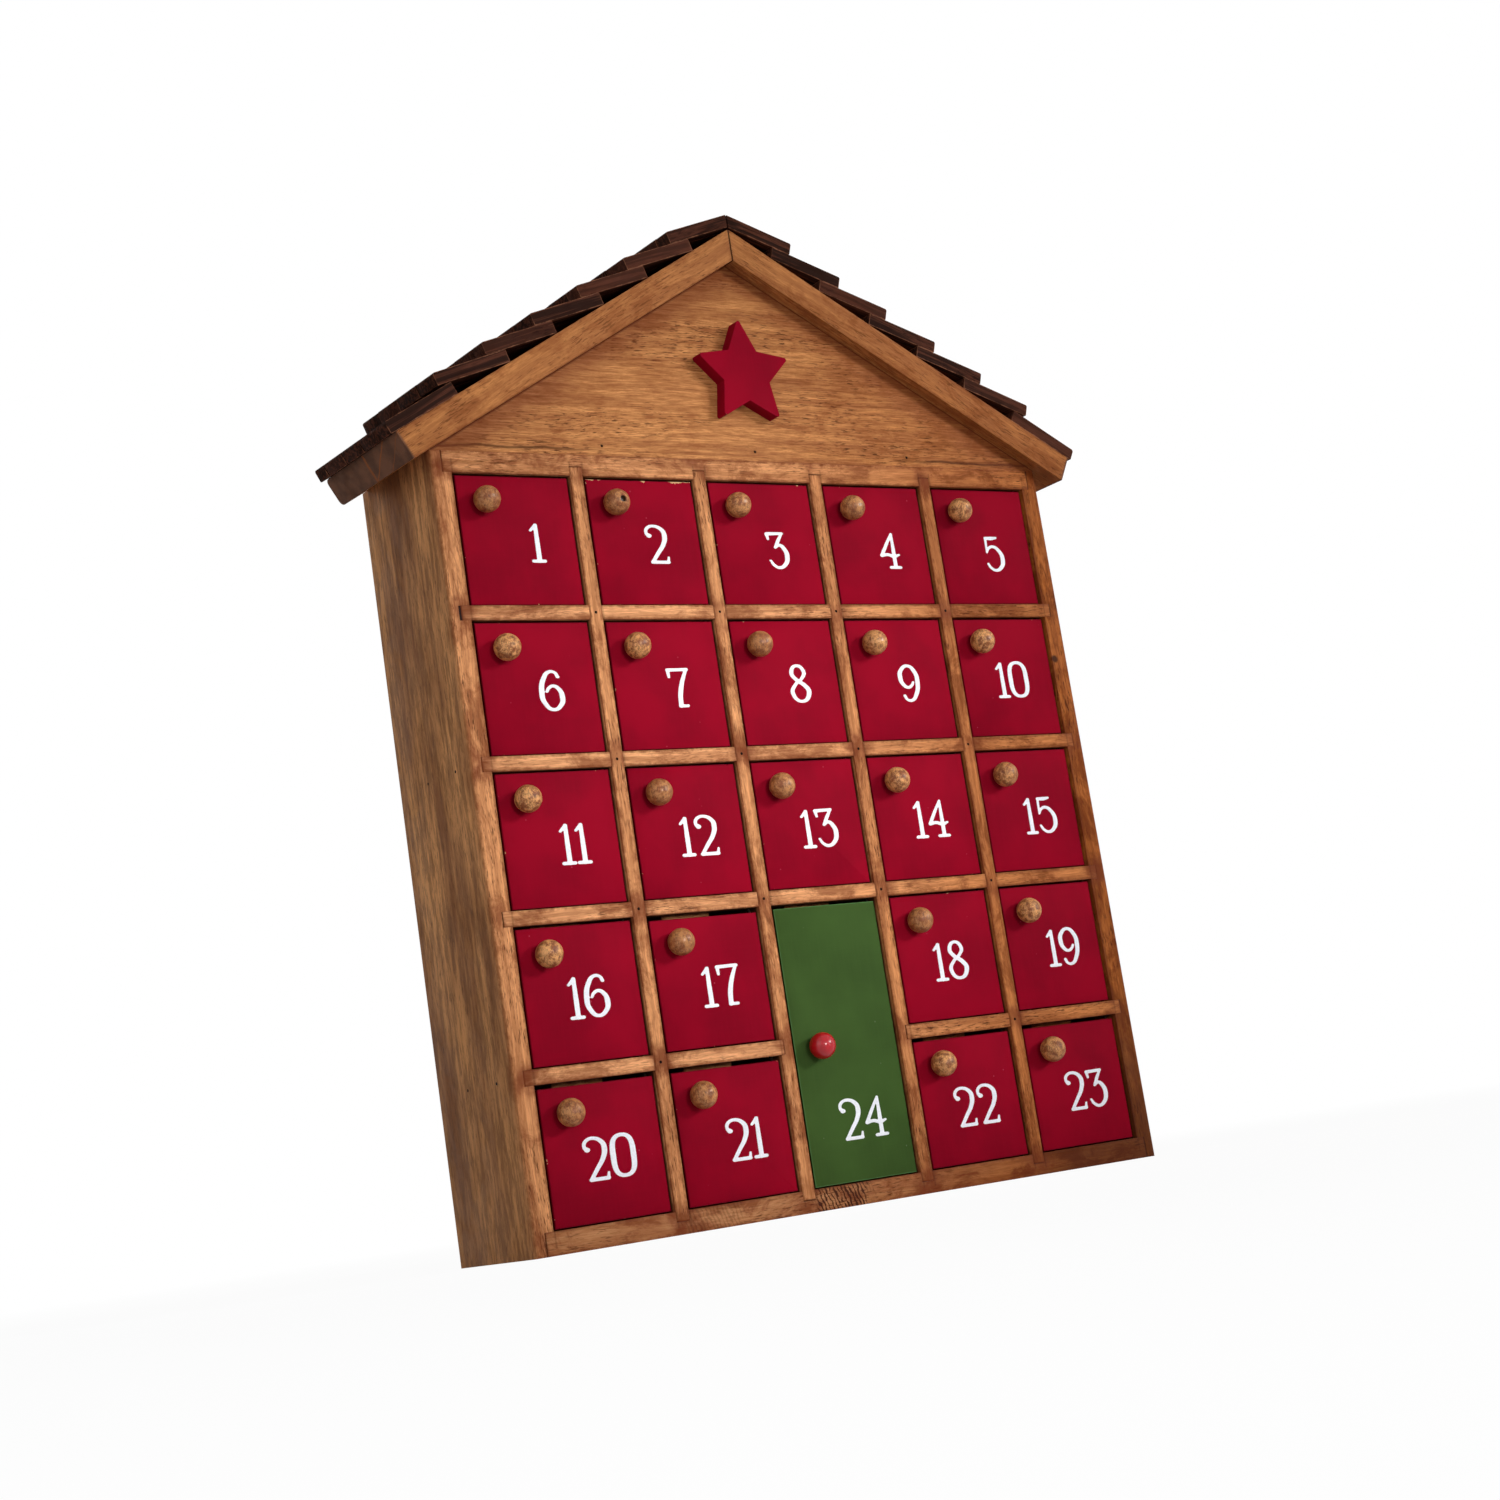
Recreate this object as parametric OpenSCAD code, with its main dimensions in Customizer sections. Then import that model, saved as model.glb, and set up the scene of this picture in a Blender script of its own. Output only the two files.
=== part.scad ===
// Wooden advent calendar: a house-shaped cabinet of 24 compartments with hinged doors.
// X is across the front, Y runs into the depth, Z is up. The origin is the middle of the footprint.

/* [Compartments] */
// Clear width of one compartment
cell_w = 55; // [45:1:75]
// Clear height of one compartment
cell_h = 55; // [45:1:75]

/* [Cabinet] */
// Depth of the cabinet from its front edges to its back
body_d = 60; // [45:1:90]
// Thickness of the side panels
side_t = 9; // [7:0.5:14]
// Thickness of the top and bottom boards
board_t = 9; // [7:0.5:14]
// Thickness of the uprights between the columns
upright_t = 6; // [5:0.5:9]
// Thickness of the shelves between the rows
shelf_t = 6; // [4:0.5:9]
// Thickness of the back panel
back_t = 4; // [3:0.5:6]
// Depth of the housings that hold the ends of boards, shelves and uprights
housing_d = 4; // [2:0.5:5]
// Depth of the housings that hold the half shelves in the uprights
stub_d = 2; // [1:0.5:2.2]
// Width of the rebate that holds the back panel
rebate_w = 4; // [2:0.5:5]
// Clearance in the housings, cross laps and rebates
joint_fit = 0.1; // [0.04:0.02:0.2]

/* [Doors] */
// Thickness of the doors
door_t = 5; // [4.5:0.5:8]
// How far the door faces lie behind the front edges
recess = 1.5; // [1:0.25:4]
// Gap at the free edge of a door
gap_free = 1.4; // [1:0.1:2.5]
// Gap at the hinged edge of a door
gap_hinge = 0.6; // [0.5:0.1:1.5]
// Gap above a door
gap_top = 0.9; // [0.4:0.1:1.5]
// Gap below a door
gap_bottom = 0.6; // [0.4:0.1:1.5]
// Radius on the arris that turns past the upright
arris_r = 1; // [0.75:0.25:2]

/* [Hinge pins] */
// Diameter of the hinge wire
pin_d = 1.5; // [1:0.1:2]
// Length of each pin inside a door
pin_bite = 5; // [3:0.5:12]
// Distance from the hinge axis to the hinged edge of the door
hinge_in = 2.5; // [1.75:0.25:2.75]
// Distance from the hinge axis to the face of the door
hinge_back = 2; // [1.5:0.25:2.5]
// Radial running clearance of a pin in its door
pin_run = 0.05; // [0.03:0.01:0.1]
// Radial clearance of a pin in its board or shelf
pin_grip = 0.02; // [0.01:0.01:0.04]

/* [Knobs] */
// Diameter of the ball knobs
knob_d = 11; // [8:0.5:14]
// Depth of the flat where a ball sits on its door
knob_flat = 0.5; // [0.25:0.05:1.5]
// Distance from the side of the compartment to the middle of a knob
knob_side = 12.5; // [9:0.5:20]
// Distance from the top of the compartment to the middle of a knob
knob_drop = 12; // [9:0.5:40]
// Distance from the top of the tall compartment to the middle of its knob
tall_knob_drop = 59.5; // [20:0.5:80]
// Diameter of the peg on a knob
peg_d = 3; // [2:0.25:4]
// Length of the peg on a knob
peg_l = 3; // [2:0.25:3.75]
// Diameter of the small hole at the front of a knob
dimple_d = 1.4; // [0.8:0.1:2]
// Depth of the small hole at the front of a knob
dimple_l = 1.5; // [0.5:0.25:3]

/* [Door stops] */
// Height of a stop block
stop_h = 4; // [2:0.5:8]
// Depth of a stop block
stop_d = 8; // [4:0.5:12]
// Gap between a closed door and its stop block
stop_gap = 0.2; // [0.1:0.05:0.3]

/* [Roof] */
// Pitch of the roof in degrees
pitch = 29.5; // [22:0.5:38]
// Thickness of the roof boards
roof_t = 12.5; // [8:0.5:18]
// How far the lower corner of a roof board lies beyond the side panel
eave_out = 10.8; // [2:0.2:25]
// How far the roof stands out in front of the cabinet
roof_out = 6.5; // [2:0.5:15]
// How far the roof stops short of the back
roof_short = 1.5; // [0.5:0.5:3]
// Thickness of the gable panel
gable_t = 9; // [6:0.5:14]

/* [Shingles] */
// Length of a shingle
shingle_l = 37; // [32:0.5:45]
// Thickness of a shingle
shingle_t = 5.5; // [3:0.5:7]
// Distance from one course to the next
exposure = 28.3; // [24:0.1:31]
// How much farther the second course lies from the eave course
eave_step = 1.4; // [0:0.1:4]
// How far the eave course passes the end of the roof board
drip = 2; // [0.5:0.5:6]
// Joint between neighbouring shingles
shingle_gap = 0.5; // [0.3:0.05:0.9]
// Clearance under a shingle where it rests on the course below
lay_gap = 0.05; // [0.02:0.01:0.1]
// Width of the eased arris on the butt of a shingle
ease = 0.7; // [0.3:0.1:1.2]

/* [Star] */
// Radius of the star to its points
star_r = 25; // [15:0.5:30]
// Thickness of the star
star_t = 6; // [3:0.5:9]
// Radius on the points of the star
star_tip = 1; // [0.5:0.25:2]
// Height of the star's middle above the top board
star_z = 38; // [32:0.5:42]
// How far the star's middle lies to the left of the ridge
star_left = 2; // [0:0.5:6]

/* [Brads] */
// Diameter of the brads
brad_d = 1.2; // [0.8:0.1:1.6]
// Length of the brads at the foot of the gable
gable_brad_l = 14; // [11:0.5:15]
// Length of the brads through the side panels
side_brad_l = 20; // [12:0.5:30]
// Length that a crossing brad reaches into the shelf
lap_brad_bite = 6; // [3:0.5:12]
// Radial clearance round a brad
brad_grip = 0.02; // [0.01:0.01:0.04]

/* [Hidden] */
columns = 5;
rows = 5;
// The tall compartment spans this many of the lowest rows, in the middle column
tall_span = 2;
tall_row = rows - tall_span;
tall_col = floor(columns / 2);

// Overrun of cuts past a face
over = 1;
// Extra depth of a blind hole past the end of its pin or peg
hole_rest = 0.2;
// Radial clearance of a peg in its door
peg_fit = 0.05;
// How far the hinge pins stop short of the outer faces of the boards
pin_inset = 0.5;
// Where a stop block starts and ends, as shares of the compartment's width
stop_shares = [0.20, 0.63];
// Ratio of the star's inner corners to its points
star_share = 0.5;
// Where the brads sit at the foot of the gable, as shares of half the cabinet's width
gable_brad_shares = [-0.486, 0.004, 0.53];
// Height of the gable brads above the top board, and their slope down into it
gable_brad_z = 4.5;
gable_brad_angle = 40;
// Depths of the brads in the side panels, as shares of the cabinet's depth
side_brad_shares = [0.21, 0.60];
// The shelves that are nailed through the side panels
nailed_shelves = [1, 3];
// Joints across a course of shingles, as shares of the roof's depth: odd and even courses
joint_shares = [[0, 0.23, 0.50, 0.77, 1], [0, 0.13, 0.38, 0.62, 0.87, 1]];
fine = 64;
round_corner = 32;

inner_w = columns * cell_w + (columns - 1) * upright_t;
inner_h = rows * cell_h + (rows - 1) * shelf_t;
body_w = inner_w + 2 * side_t;
body_h = inner_h + 2 * board_t;
inner_d = body_d - back_t;
lap_d = inner_d / 2;

knob_proud = knob_d - knob_flat - recess;
proud = max(knob_proud, roof_out, star_t);
front_y = -(body_d - proud) / 2;
hinge_y = front_y + recess + hinge_back;

apex_z = body_h + body_w / 2 * tan(pitch);
ridge_z = apex_z + roof_t / cos(pitch);
roof_len = (body_w / 2 + eave_out) / cos(pitch) + roof_t * tan(pitch);
roof_d = body_d + roof_out - roof_short;
courses = 1 + ceil((roof_len + drip - shingle_l - eave_step) / exposure);

// Left edge of a column and lower edge of a row's clear opening
function col_x(c) = -inner_w / 2 + c * (cell_w + upright_t);
function row_z(r) = board_t + (rows - 1 - r) * (cell_h + shelf_t);
function hinge_x(c) = col_x(c) + cell_w - gap_hinge - hinge_in;
function upright_x(u) = col_x(u) + cell_w;
function shelf_z(s) = row_z(s) - shelf_t;

// A shelf at the tall compartment's height stops at the uprights beside it
function splits(s) = s >= tall_row && s <= rows - 2;
function beside_tall(u) = u == tall_col - 1 || u == tall_col;
function crosses(u, s) = !(splits(s) && beside_tall(u));

// Doors are numbered along the rows, and the tall door takes the last number
door_count = rows * columns - tall_span + 1;
full_rows = tall_row * columns;
short_cols = [for (c = [0:columns - 1]) if (c != tall_col) c];
function is_tall(n) = n == door_count;
function door_row(n) = is_tall(n) ? tall_row
    : n <= full_rows ? floor((n - 1) / columns)
    : tall_row + floor((n - full_rows - 1) / len(short_cols));
function door_col(n) = is_tall(n) ? tall_col
    : n <= full_rows ? (n - 1) % columns
    : short_cols[(n - full_rows - 1) % len(short_cols)];
function last_row(n) = is_tall(n) ? rows - 1 : door_row(n);
function cell_top(n) = row_z(door_row(n)) + cell_h;
function door_x(n) = col_x(door_col(n)) + gap_free;
function door_z(n) = row_z(last_row(n)) + gap_bottom;
function door_w() = cell_w - gap_free - gap_hinge;
function door_h(n) = cell_top(n) - gap_top - door_z(n);
function two_digits(n) = str(n < 10 ? "0" : "", n);
function door_name(n) = str("door_", two_digits(n));
function knob_name(n) = str("knob_", two_digits(n));

frame_nodes = ["side_panels", "top_board", "bottom_board", "back_panel", "uprights", "shelves",
    "gable_panel", "roof_boards", "shingles", "star", "steel_pins", "door_stops"];

// A box from its lower left front corner
module box(x, y, z, w, d, h) translate([x, y, z]) cube([w, d, h]);

// A hinge pin between two heights, grown by a clearance
module upright_pin(c, z0, z1, grow)
    translate([hinge_x(c), hinge_y, z0]) cylinder(d = pin_d + 2 * grow, h = z1 - z0, $fn = fine);

// Shelves above and below which a pin turns, by column: the tall compartment has none inside
function has_pin(c, s) = !(splits(s) && c == tall_col);

// Hinge pins of the top board, of the bottom board and of one shelf
module top_pins(grow)
    for (c = [0:columns - 1])
        upright_pin(c, body_h - board_t - gap_top - pin_bite, body_h - pin_inset, grow);
module bottom_pins(grow)
    for (c = [0:columns - 1])
        upright_pin(c, pin_inset, board_t + gap_bottom + pin_bite, grow);
module shelf_pins(s, grow)
    for (c = [0:columns - 1]) if (has_pin(c, s))
        upright_pin(c, shelf_z(s) - gap_top - pin_bite,
            shelf_z(s) + shelf_t + gap_bottom + pin_bite, grow);

// A brad along +Y from its head, turned down by an angle
module brad(head, down, length, grow, rest)
    translate(head) rotate([-90 - down, 0, 0]) translate([0, 0, -rest])
        cylinder(d = brad_d + 2 * grow, h = length + 2 * rest, $fn = fine);

module gable_brads(grow, rest)
    for (share = gable_brad_shares)
        brad([share * body_w / 2, front_y, body_h + gable_brad_z], gable_brad_angle,
            gable_brad_l, grow, rest);

// Brads through the upright of each crossing into the shelf behind its lap
module lap_brads(grow, rest)
    for (u = [0:columns - 2], s = [0:rows - 2]) if (crosses(u, s))
        brad([upright_x(u) + upright_t / 2, front_y, shelf_z(s) + shelf_t / 2], 0,
            lap_d + lap_brad_bite, grow, rest);

// Brads through one side panel into the ends of two shelves: side is -1 or 1
module side_brads(side, grow, rest)
    for (s = nailed_shelves, share = side_brad_shares)
        translate([side * body_w / 2, front_y + share * body_d, shelf_z(s) + shelf_t / 2])
            rotate([0, -side * 90, 0]) translate([0, 0, -rest])
                cylinder(d = brad_d + 2 * grow, h = side_brad_l + 2 * rest, $fn = fine);

// One side panel with its housings, its corner rebates and the rebate for the back
module side_panel(side) {
    edge = side < 0 ? -body_w / 2 : body_w / 2 - side_t;
    cut_x = side < 0 ? edge + side_t - housing_d - joint_fit : edge - over;
    cut_w = housing_d + joint_fit + over;
    rebate_x = side < 0 ? edge + side_t - rebate_w : edge - over;
    difference() {
        box(edge, front_y, 0, side_t, body_d, body_h);
        for (s = [0:rows - 2])
            box(cut_x, front_y - over, shelf_z(s) - joint_fit / 2,
                cut_w, body_d + 2 * over, shelf_t + joint_fit);
        box(cut_x, front_y - over, -over, cut_w, body_d + 2 * over, board_t + joint_fit / 2 + over);
        box(cut_x, front_y - over, body_h - board_t - joint_fit / 2,
            cut_w, body_d + 2 * over, board_t + over + joint_fit);
        box(rebate_x, front_y + inner_d, -over, rebate_w + over, back_t + over, body_h + 2 * over);
        side_brads(side, brad_grip, hole_rest);
    }
}

module side_panels() color("sienna") {
    side_panel(-1);
    side_panel(1);
}

// Grooves for the ends of the uprights, at a height
module end_grooves(z)
    for (u = [0:columns - 2])
        box(upright_x(u) - joint_fit / 2, front_y - over, z,
            upright_t + joint_fit, inner_d + 2 * over, housing_d + joint_fit + over);

module board(z) box(-inner_w / 2 - housing_d, front_y, z, inner_w + 2 * housing_d, inner_d, board_t);

module top_board() color("burlywood") difference() {
    board(body_h - board_t);
    end_grooves(body_h - board_t - over);
    top_pins(pin_grip);
    translate([0, 0, over]) top_pins(pin_grip);
    gable_brads(brad_grip, hole_rest);
}

module bottom_board() color("burlywood") difference() {
    board(0);
    end_grooves(board_t - housing_d - joint_fit);
    bottom_pins(pin_grip);
    translate([0, 0, -over]) bottom_pins(pin_grip);
}

// House-shaped back in the rebates of the sides, up to the underside of the roof
module back_panel() color("tan") {
    half_w = body_w / 2 - side_t + rebate_w - joint_fit;
    eave_z = body_h + (body_w / 2 - half_w) * tan(pitch);
    translate([0, front_y + body_d, 0]) rotate([90, 0, 0]) linear_extrude(back_t)
        polygon([[-half_w, 0], [half_w, 0], [half_w, eave_z], [0, apex_z], [-half_w, eave_z]]);
}

// One upright: notched from behind at each crossing, housed for the half shelves
module upright(u) {
    x = upright_x(u);
    stub_x = u < tall_col ? x - over : x + upright_t - stub_d - joint_fit;
    difference() {
        box(x, front_y, board_t - housing_d, upright_t, inner_d, inner_h + 2 * housing_d);
        for (s = [0:rows - 2]) if (crosses(u, s))
            box(x - over, front_y + lap_d, shelf_z(s) - joint_fit / 2,
                upright_t + 2 * over, lap_d + over, shelf_t + joint_fit);
        for (s = [0:rows - 2]) if (!crosses(u, s))
            box(stub_x, front_y - over, shelf_z(s) - joint_fit / 2,
                stub_d + joint_fit + over, inner_d + 2 * over, shelf_t + joint_fit);
        lap_brads(brad_grip, hole_rest);
    }
}

module uprights() color("peru") for (u = [0:columns - 2]) upright(u);

// One shelf between two X positions: slotted from the front at each crossing
module shelf_run(s, x0, x1) difference() {
    box(x0, front_y, shelf_z(s), x1 - x0, inner_d, shelf_t);
    for (u = [0:columns - 2]) if (crosses(u, s))
        box(upright_x(u) - joint_fit / 2, front_y - over, shelf_z(s) - over,
            upright_t + joint_fit, lap_d + joint_fit + over, shelf_t + 2 * over);
    shelf_pins(s, pin_grip);
    lap_brads(brad_grip, hole_rest);
    side_brads(-1, brad_grip, hole_rest);
    side_brads(1, brad_grip, hole_rest);
}

module shelves() color("peru") for (s = [0:rows - 2]) {
    end_x = inner_w / 2 + housing_d;
    if (splits(s)) {
        shelf_run(s, -end_x, upright_x(tall_col - 1) + stub_d);
        shelf_run(s, upright_x(tall_col) + upright_t - stub_d, end_x);
    } else {
        shelf_run(s, -end_x, end_x);
    }
}

module gable_panel() color("burlywood") difference() {
    translate([0, front_y + gable_t, 0]) rotate([90, 0, 0]) linear_extrude(gable_t)
        polygon([[-body_w / 2, body_h], [body_w / 2, body_h], [0, apex_z]]);
    gable_brads(brad_grip, hole_rest);
}

// Places its children on one slope: X runs down the slope from the ridge, Y stands off the board
module on_slope(side) mirror([side < 0 ? 1 : 0, 0, 0])
    translate([0, front_y - roof_out, ridge_z]) rotate([90, pitch, 0]) mirror([0, 0, 1]) children();

// Keeps one side of the ridge, clear of the other side by the joint clearance
module ridge_side(side) intersection() {
    children();
    half = body_w + eave_out;
    box(side < 0 ? -half - joint_fit / 2 : joint_fit / 2, front_y - roof_out - over, 0,
        half, roof_d + 2 * over, ridge_z + body_h);
}

module roof_board(side) ridge_side(side) on_slope(side)
    translate([-roof_t, -roof_t, 0]) cube([roof_len + roof_t, roof_t, roof_d]);

module roof_boards() color("goldenrod") for (side = [-1, 1]) roof_board(side);

// Upper end of a course, measured down the slope: course 1 lies flat at the eave
function course_x(k) = roof_len + drip - shingle_l - (k > 1 ? eave_step : 0) - (k - 1) * exposure;
// Tilt of a course that rests on the upper edge of the course below
function tilt(k) = k == 1 ? 0
    : atan2(shingle_t * cos(tilt(k - 1)) + lay_gap,
        course_x(k - 1) - course_x(k) - shingle_t * sin(tilt(k - 1)));

module shingle(k, z0, z1)
    translate([course_x(k), 0, z0]) rotate([0, 0, tilt(k)]) linear_extrude(z1 - z0)
        polygon([[0, 0], [shingle_l - ease / 2, 0], [shingle_l, ease / 2],
            [shingle_l, shingle_t - ease], [shingle_l - ease, shingle_t], [0, shingle_t]]);

// One course: the joints of neighbouring courses are staggered
module course(k) {
    shares = joint_shares[k % 2];
    last = len(shares) - 2;
    for (j = [0:last])
        shingle(k, shares[j] * roof_d + (j > 0 ? shingle_gap / 2 : 0),
            shares[j + 1] * roof_d - (j < last ? shingle_gap / 2 : 0));
}

module shingles() color("saddlebrown") for (side = [-1, 1])
    ridge_side(side) on_slope(side) translate([0, lay_gap, 0]) for (k = [1:courses]) course(k);

module star() color("crimson")
    translate([-star_left, front_y, body_h + star_z]) rotate([90, 0, 0]) linear_extrude(star_t)
        offset(r = star_tip, $fn = round_corner) offset(delta = -star_tip)
            polygon([for (k = [0:9]) let (r = k % 2 == 0 ? star_r : star_r * star_share)
                [r * cos(90 + k * 36), r * sin(90 + k * 36)]]);

module steel_pins() color("silver") {
    top_pins(0);
    bottom_pins(0);
    for (s = [0:rows - 2]) shelf_pins(s, 0);
    gable_brads(0, 0);
    lap_brads(0, 0);
    side_brads(-1, 0, 0);
    side_brads(1, 0, 0);
}

module door_stops() color("peru") for (n = [1:door_count])
    box(col_x(door_col(n)) + stop_shares[0] * cell_w, front_y + recess + door_t + stop_gap,
        cell_top(n) - stop_h, (stop_shares[1] - stop_shares[0]) * cell_w, stop_d, stop_h);

// Middle of a knob's seat on the face of its door
function knob_at(n) = [col_x(door_col(n)) + knob_side, front_y + recess,
    cell_top(n) - (is_tall(n) ? tall_knob_drop : knob_drop)];

// Plan of a door from above, with the hinged front arris rounded
module door_plan() {
    w = door_w();
    difference() {
        square([w, door_t]);
        difference() {
            translate([w - arris_r, -over]) square([arris_r + over, arris_r + over]);
            translate([w - arris_r, arris_r]) circle(r = arris_r, $fn = fine);
        }
    }
}

module door(n) color(is_tall(n) ? "darkgreen" : "crimson") difference() {
    translate([door_x(n), front_y + recess, door_z(n)]) linear_extrude(door_h(n)) door_plan();
    upright_pin(door_col(n), door_z(n) - over, door_z(n) + pin_bite + hole_rest, pin_run);
    upright_pin(door_col(n), door_z(n) + door_h(n) - pin_bite - hole_rest,
        door_z(n) + door_h(n) + over, pin_run);
    translate(knob_at(n)) rotate([-90, 0, 0]) translate([0, 0, -over])
        cylinder(d = peg_d + 2 * peg_fit, h = peg_l + hole_rest + over, $fn = fine);
}

// A ball with a flat seat and a peg behind it, and a small hole at its front
module knob(n) color(is_tall(n) ? "firebrick" : "burlywood")
    translate(knob_at(n)) rotate([-90, 0, 0]) difference() {
        union() {
            intersection() {
                translate([0, 0, knob_flat - knob_d / 2]) sphere(d = knob_d, $fn = fine);
                translate([-knob_d, -knob_d, -2 * knob_d]) cube(2 * knob_d);
            }
            translate([0, 0, -knob_d / 2]) cylinder(d = peg_d, h = knob_d / 2 + peg_l, $fn = fine);
        }
        translate([0, 0, knob_flat - knob_d - over])
            cylinder(d = dimple_d, h = dimple_l + over, $fn = fine);
    }

side_panels();
top_board();
bottom_board();
back_panel();
uprights();
shelves();
gable_panel();
roof_boards();
shingles();
star();
steel_pins();
door_stops();
for (n = [1:door_count]) door(n);
for (n = [1:door_count]) knob(n);
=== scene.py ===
"""Looks of a wooden advent calendar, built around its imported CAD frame."""
import math
import random

import bmesh
import bpy
from mathutils import Matrix, Vector


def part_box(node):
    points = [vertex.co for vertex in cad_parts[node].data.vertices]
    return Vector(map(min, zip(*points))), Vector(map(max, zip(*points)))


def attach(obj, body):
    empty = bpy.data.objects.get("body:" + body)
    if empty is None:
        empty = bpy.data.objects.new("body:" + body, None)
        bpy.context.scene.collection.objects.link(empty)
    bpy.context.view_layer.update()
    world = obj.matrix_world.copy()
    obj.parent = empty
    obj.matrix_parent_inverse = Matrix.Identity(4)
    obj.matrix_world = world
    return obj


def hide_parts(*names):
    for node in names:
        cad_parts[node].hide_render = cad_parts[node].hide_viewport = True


bl_info = {
    "name": "Wooden Advent Calendar",
    "version": (1, 0, 0),
    "blender": (4, 5, 0),
    "location": "3D View > Sidebar > Calendar",
    "description": "Builds the wood, paint, numbers and knobs of an advent calendar cabinet",
    "category": "Add Mesh",
}

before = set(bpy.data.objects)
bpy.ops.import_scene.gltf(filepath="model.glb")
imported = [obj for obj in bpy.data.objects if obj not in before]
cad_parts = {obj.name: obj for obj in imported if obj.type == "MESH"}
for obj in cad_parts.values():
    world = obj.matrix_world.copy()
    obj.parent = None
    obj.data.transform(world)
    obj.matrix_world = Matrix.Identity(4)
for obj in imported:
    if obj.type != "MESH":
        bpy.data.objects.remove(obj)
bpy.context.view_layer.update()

MM = 0.001
ALONG_X, ALONG_Z, DOWN_SLOPE = "across the cabinet", "up the cabinet", "down the slope"
CABINET = "cabinet"
TALL_DOOR = 24
WHITE = (1.0, 1.0, 1.0, 1.0)
FLAT_ANGLE = math.radians(1)
SHARP_ANGLE = math.radians(25)
SMOOTH_ANGLE = math.radians(35)
# Shorter edges, such as the rims of small holes, stay sharp
SHORTEST_EDGE = 1.2 * MM
# How near to a plane a point still counts as on it
ON_PLANE = 0.1 * MM
# Half the thickness of an upright or a shelf, in millimetres
HALF_DIVIDER = 3.0
# From a door's free edge and from its top to the sides of its compartment
FREE_GAP = 1.4 * MM
TOP_GAP = 0.9 * MM
# How far the grain moves from one board to the next, in millimetres for a tone of 1
GRAIN_SHIFT = (937.0, 411.0, 173.0)
# Painted shade: a darker brown that the cabinet's wood is multiplied by towards its lower right
LOWER_RIGHT_SHADE = (0.82, 0.68, 0.48)
# A small knot in the front edge of the right side board, in millimetres
KNOT = (151.0, -25.5, 227.0)
# Height of the pointed figure in the left side board, in millimetres
FLAME_HEIGHT = 266.0
# Places along the base board, and strengths, of the two hatched finger joints
FINGER_JOINTS = ((-78.0, 0.3), (-14.0, 0.95))
# Dark tones of the brad heads: painted shade of the punched holes round them
STEEL_LIGHT, STEEL_DARK = (0.12, 0.08, 0.06), (0.06, 0.045, 0.035)


def quantity(name, description, value, **limits):
    return bpy.props.FloatProperty(name=name, description=description, default=value,
                                   **{"min": 0, **limits})


def length(name, description, value):
    return quantity(name, description, value * MM, unit="LENGTH", precision=5)


def share(name, description, value):
    return quantity(name, description, value, max=1, subtype="FACTOR")


def power(name, description, value):
    return quantity(name, description, value, unit="POWER")


def colour(name, description, value):
    """A colour property that holds display values, as a colour picker shows them."""
    return bpy.props.FloatVectorProperty(
        name=name, description=description, default=value, size=3, min=0, max=1,
        subtype="COLOR_GAMMA")


class CalendarWood(bpy.types.PropertyGroup):
    pine_light: colour("Pine", "Honey colour of the waxed pine", (0.88, 0.62, 0.41))
    pine_dark: colour("Pine Grain", "Colour of the late wood lines", (0.53, 0.30, 0.16))
    pine_stain: colour("Pine Stain", "Reddish brown where the stain gathers", (0.44, 0.205, 0.105))
    shelf_light: colour("Shelf", "Paler honey colour of the shelves", (0.92, 0.665, 0.46))
    side_light: colour("Side", "Lighter streaks of the side faces", (0.93, 0.665, 0.43))
    side_dark: colour("Side Grain", "Darker streaks of the side faces", (0.58, 0.375, 0.235))
    gable_light: colour("Gable", "Honey colour of the gable board", (0.83, 0.575, 0.345))
    roof_light: colour("Roof Board", "Face of the roof boards", (0.77, 0.51, 0.29))
    end_grain: colour("End Grain", "Sawn ends of the roof boards", (0.47, 0.315, 0.235))
    # Painted shade on the faces inside the compartments, behind the doors' fronts
    shade: share("Inner Shade", "Darkness of the faces inside the compartments", 0.8)
    ply: colour("Back", "Thin board of the back", (0.84, 0.66, 0.45))
    spacing: length("Grain Spacing", "Usual distance between the grain lines", 2.6)
    roughness: share("Roughness", "Roughness of the waxed wood", 0.55)


class CalendarRoof(bpy.types.PropertyGroup):
    shingle_dark: colour("Shingle", "Dark stain of the shingles", (0.165, 0.095, 0.07))
    shingle_brown: colour(
        "Shingle Grain", "Brown that shows through the stain", (0.37, 0.21, 0.155))
    # Lighter arrises of the shingles: partly rubbed wear, partly a painted highlight
    shingle_worn: colour("Shingle Edge", "Rubbed arrises of the shingles", (0.58, 0.38, 0.28))
    slip: length("Slip", "How far a shingle may lie out of line", 0.5)
    edge: length("Edge", "Rounding of the shingles' edges", 0.45)


class CalendarPaint(bpy.types.PropertyGroup):
    red: colour("Red", "Paint of the doors and the star", (0.565, 0.025, 0.13))
    green: colour("Green", "Paint of the tall door", (0.245, 0.345, 0.16))
    # Painted highlight along the tall door's rounded edges
    green_rim: colour("Green Edge", "Edges of the tall door", (0.36, 0.55, 0.34))
    gloss_red: colour("Gloss Red", "Paint of the tall door's knob", (0.77, 0.01, 0.10))
    white: colour("White", "Paint of the numbers", (0.93, 0.94, 0.97))
    bare: colour("Bare Wood", "Wood under a paint chip", (0.86, 0.70, 0.50))
    roughness: share("Roughness", "Roughness of the satin paint", 0.64)


class CalendarKnobs(bpy.types.PropertyGroup):
    bead_light: colour("Bead", "Light wood of the ball knobs", (0.895, 0.65, 0.405))
    bead_dark: colour("Bead Grain", "Darker mottling of the ball knobs", (0.54, 0.30, 0.16))
    bead_line: colour("Bead Lines", "Fine dark lines in the ball knobs", (0.34, 0.18, 0.10))
    hole: length("Hole Depth", "Depth of an open hole at the front of a knob", 1.2)
    mark: length("Mark Depth", "Depth of a filled hole at the front of a knob", 0.06)


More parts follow.
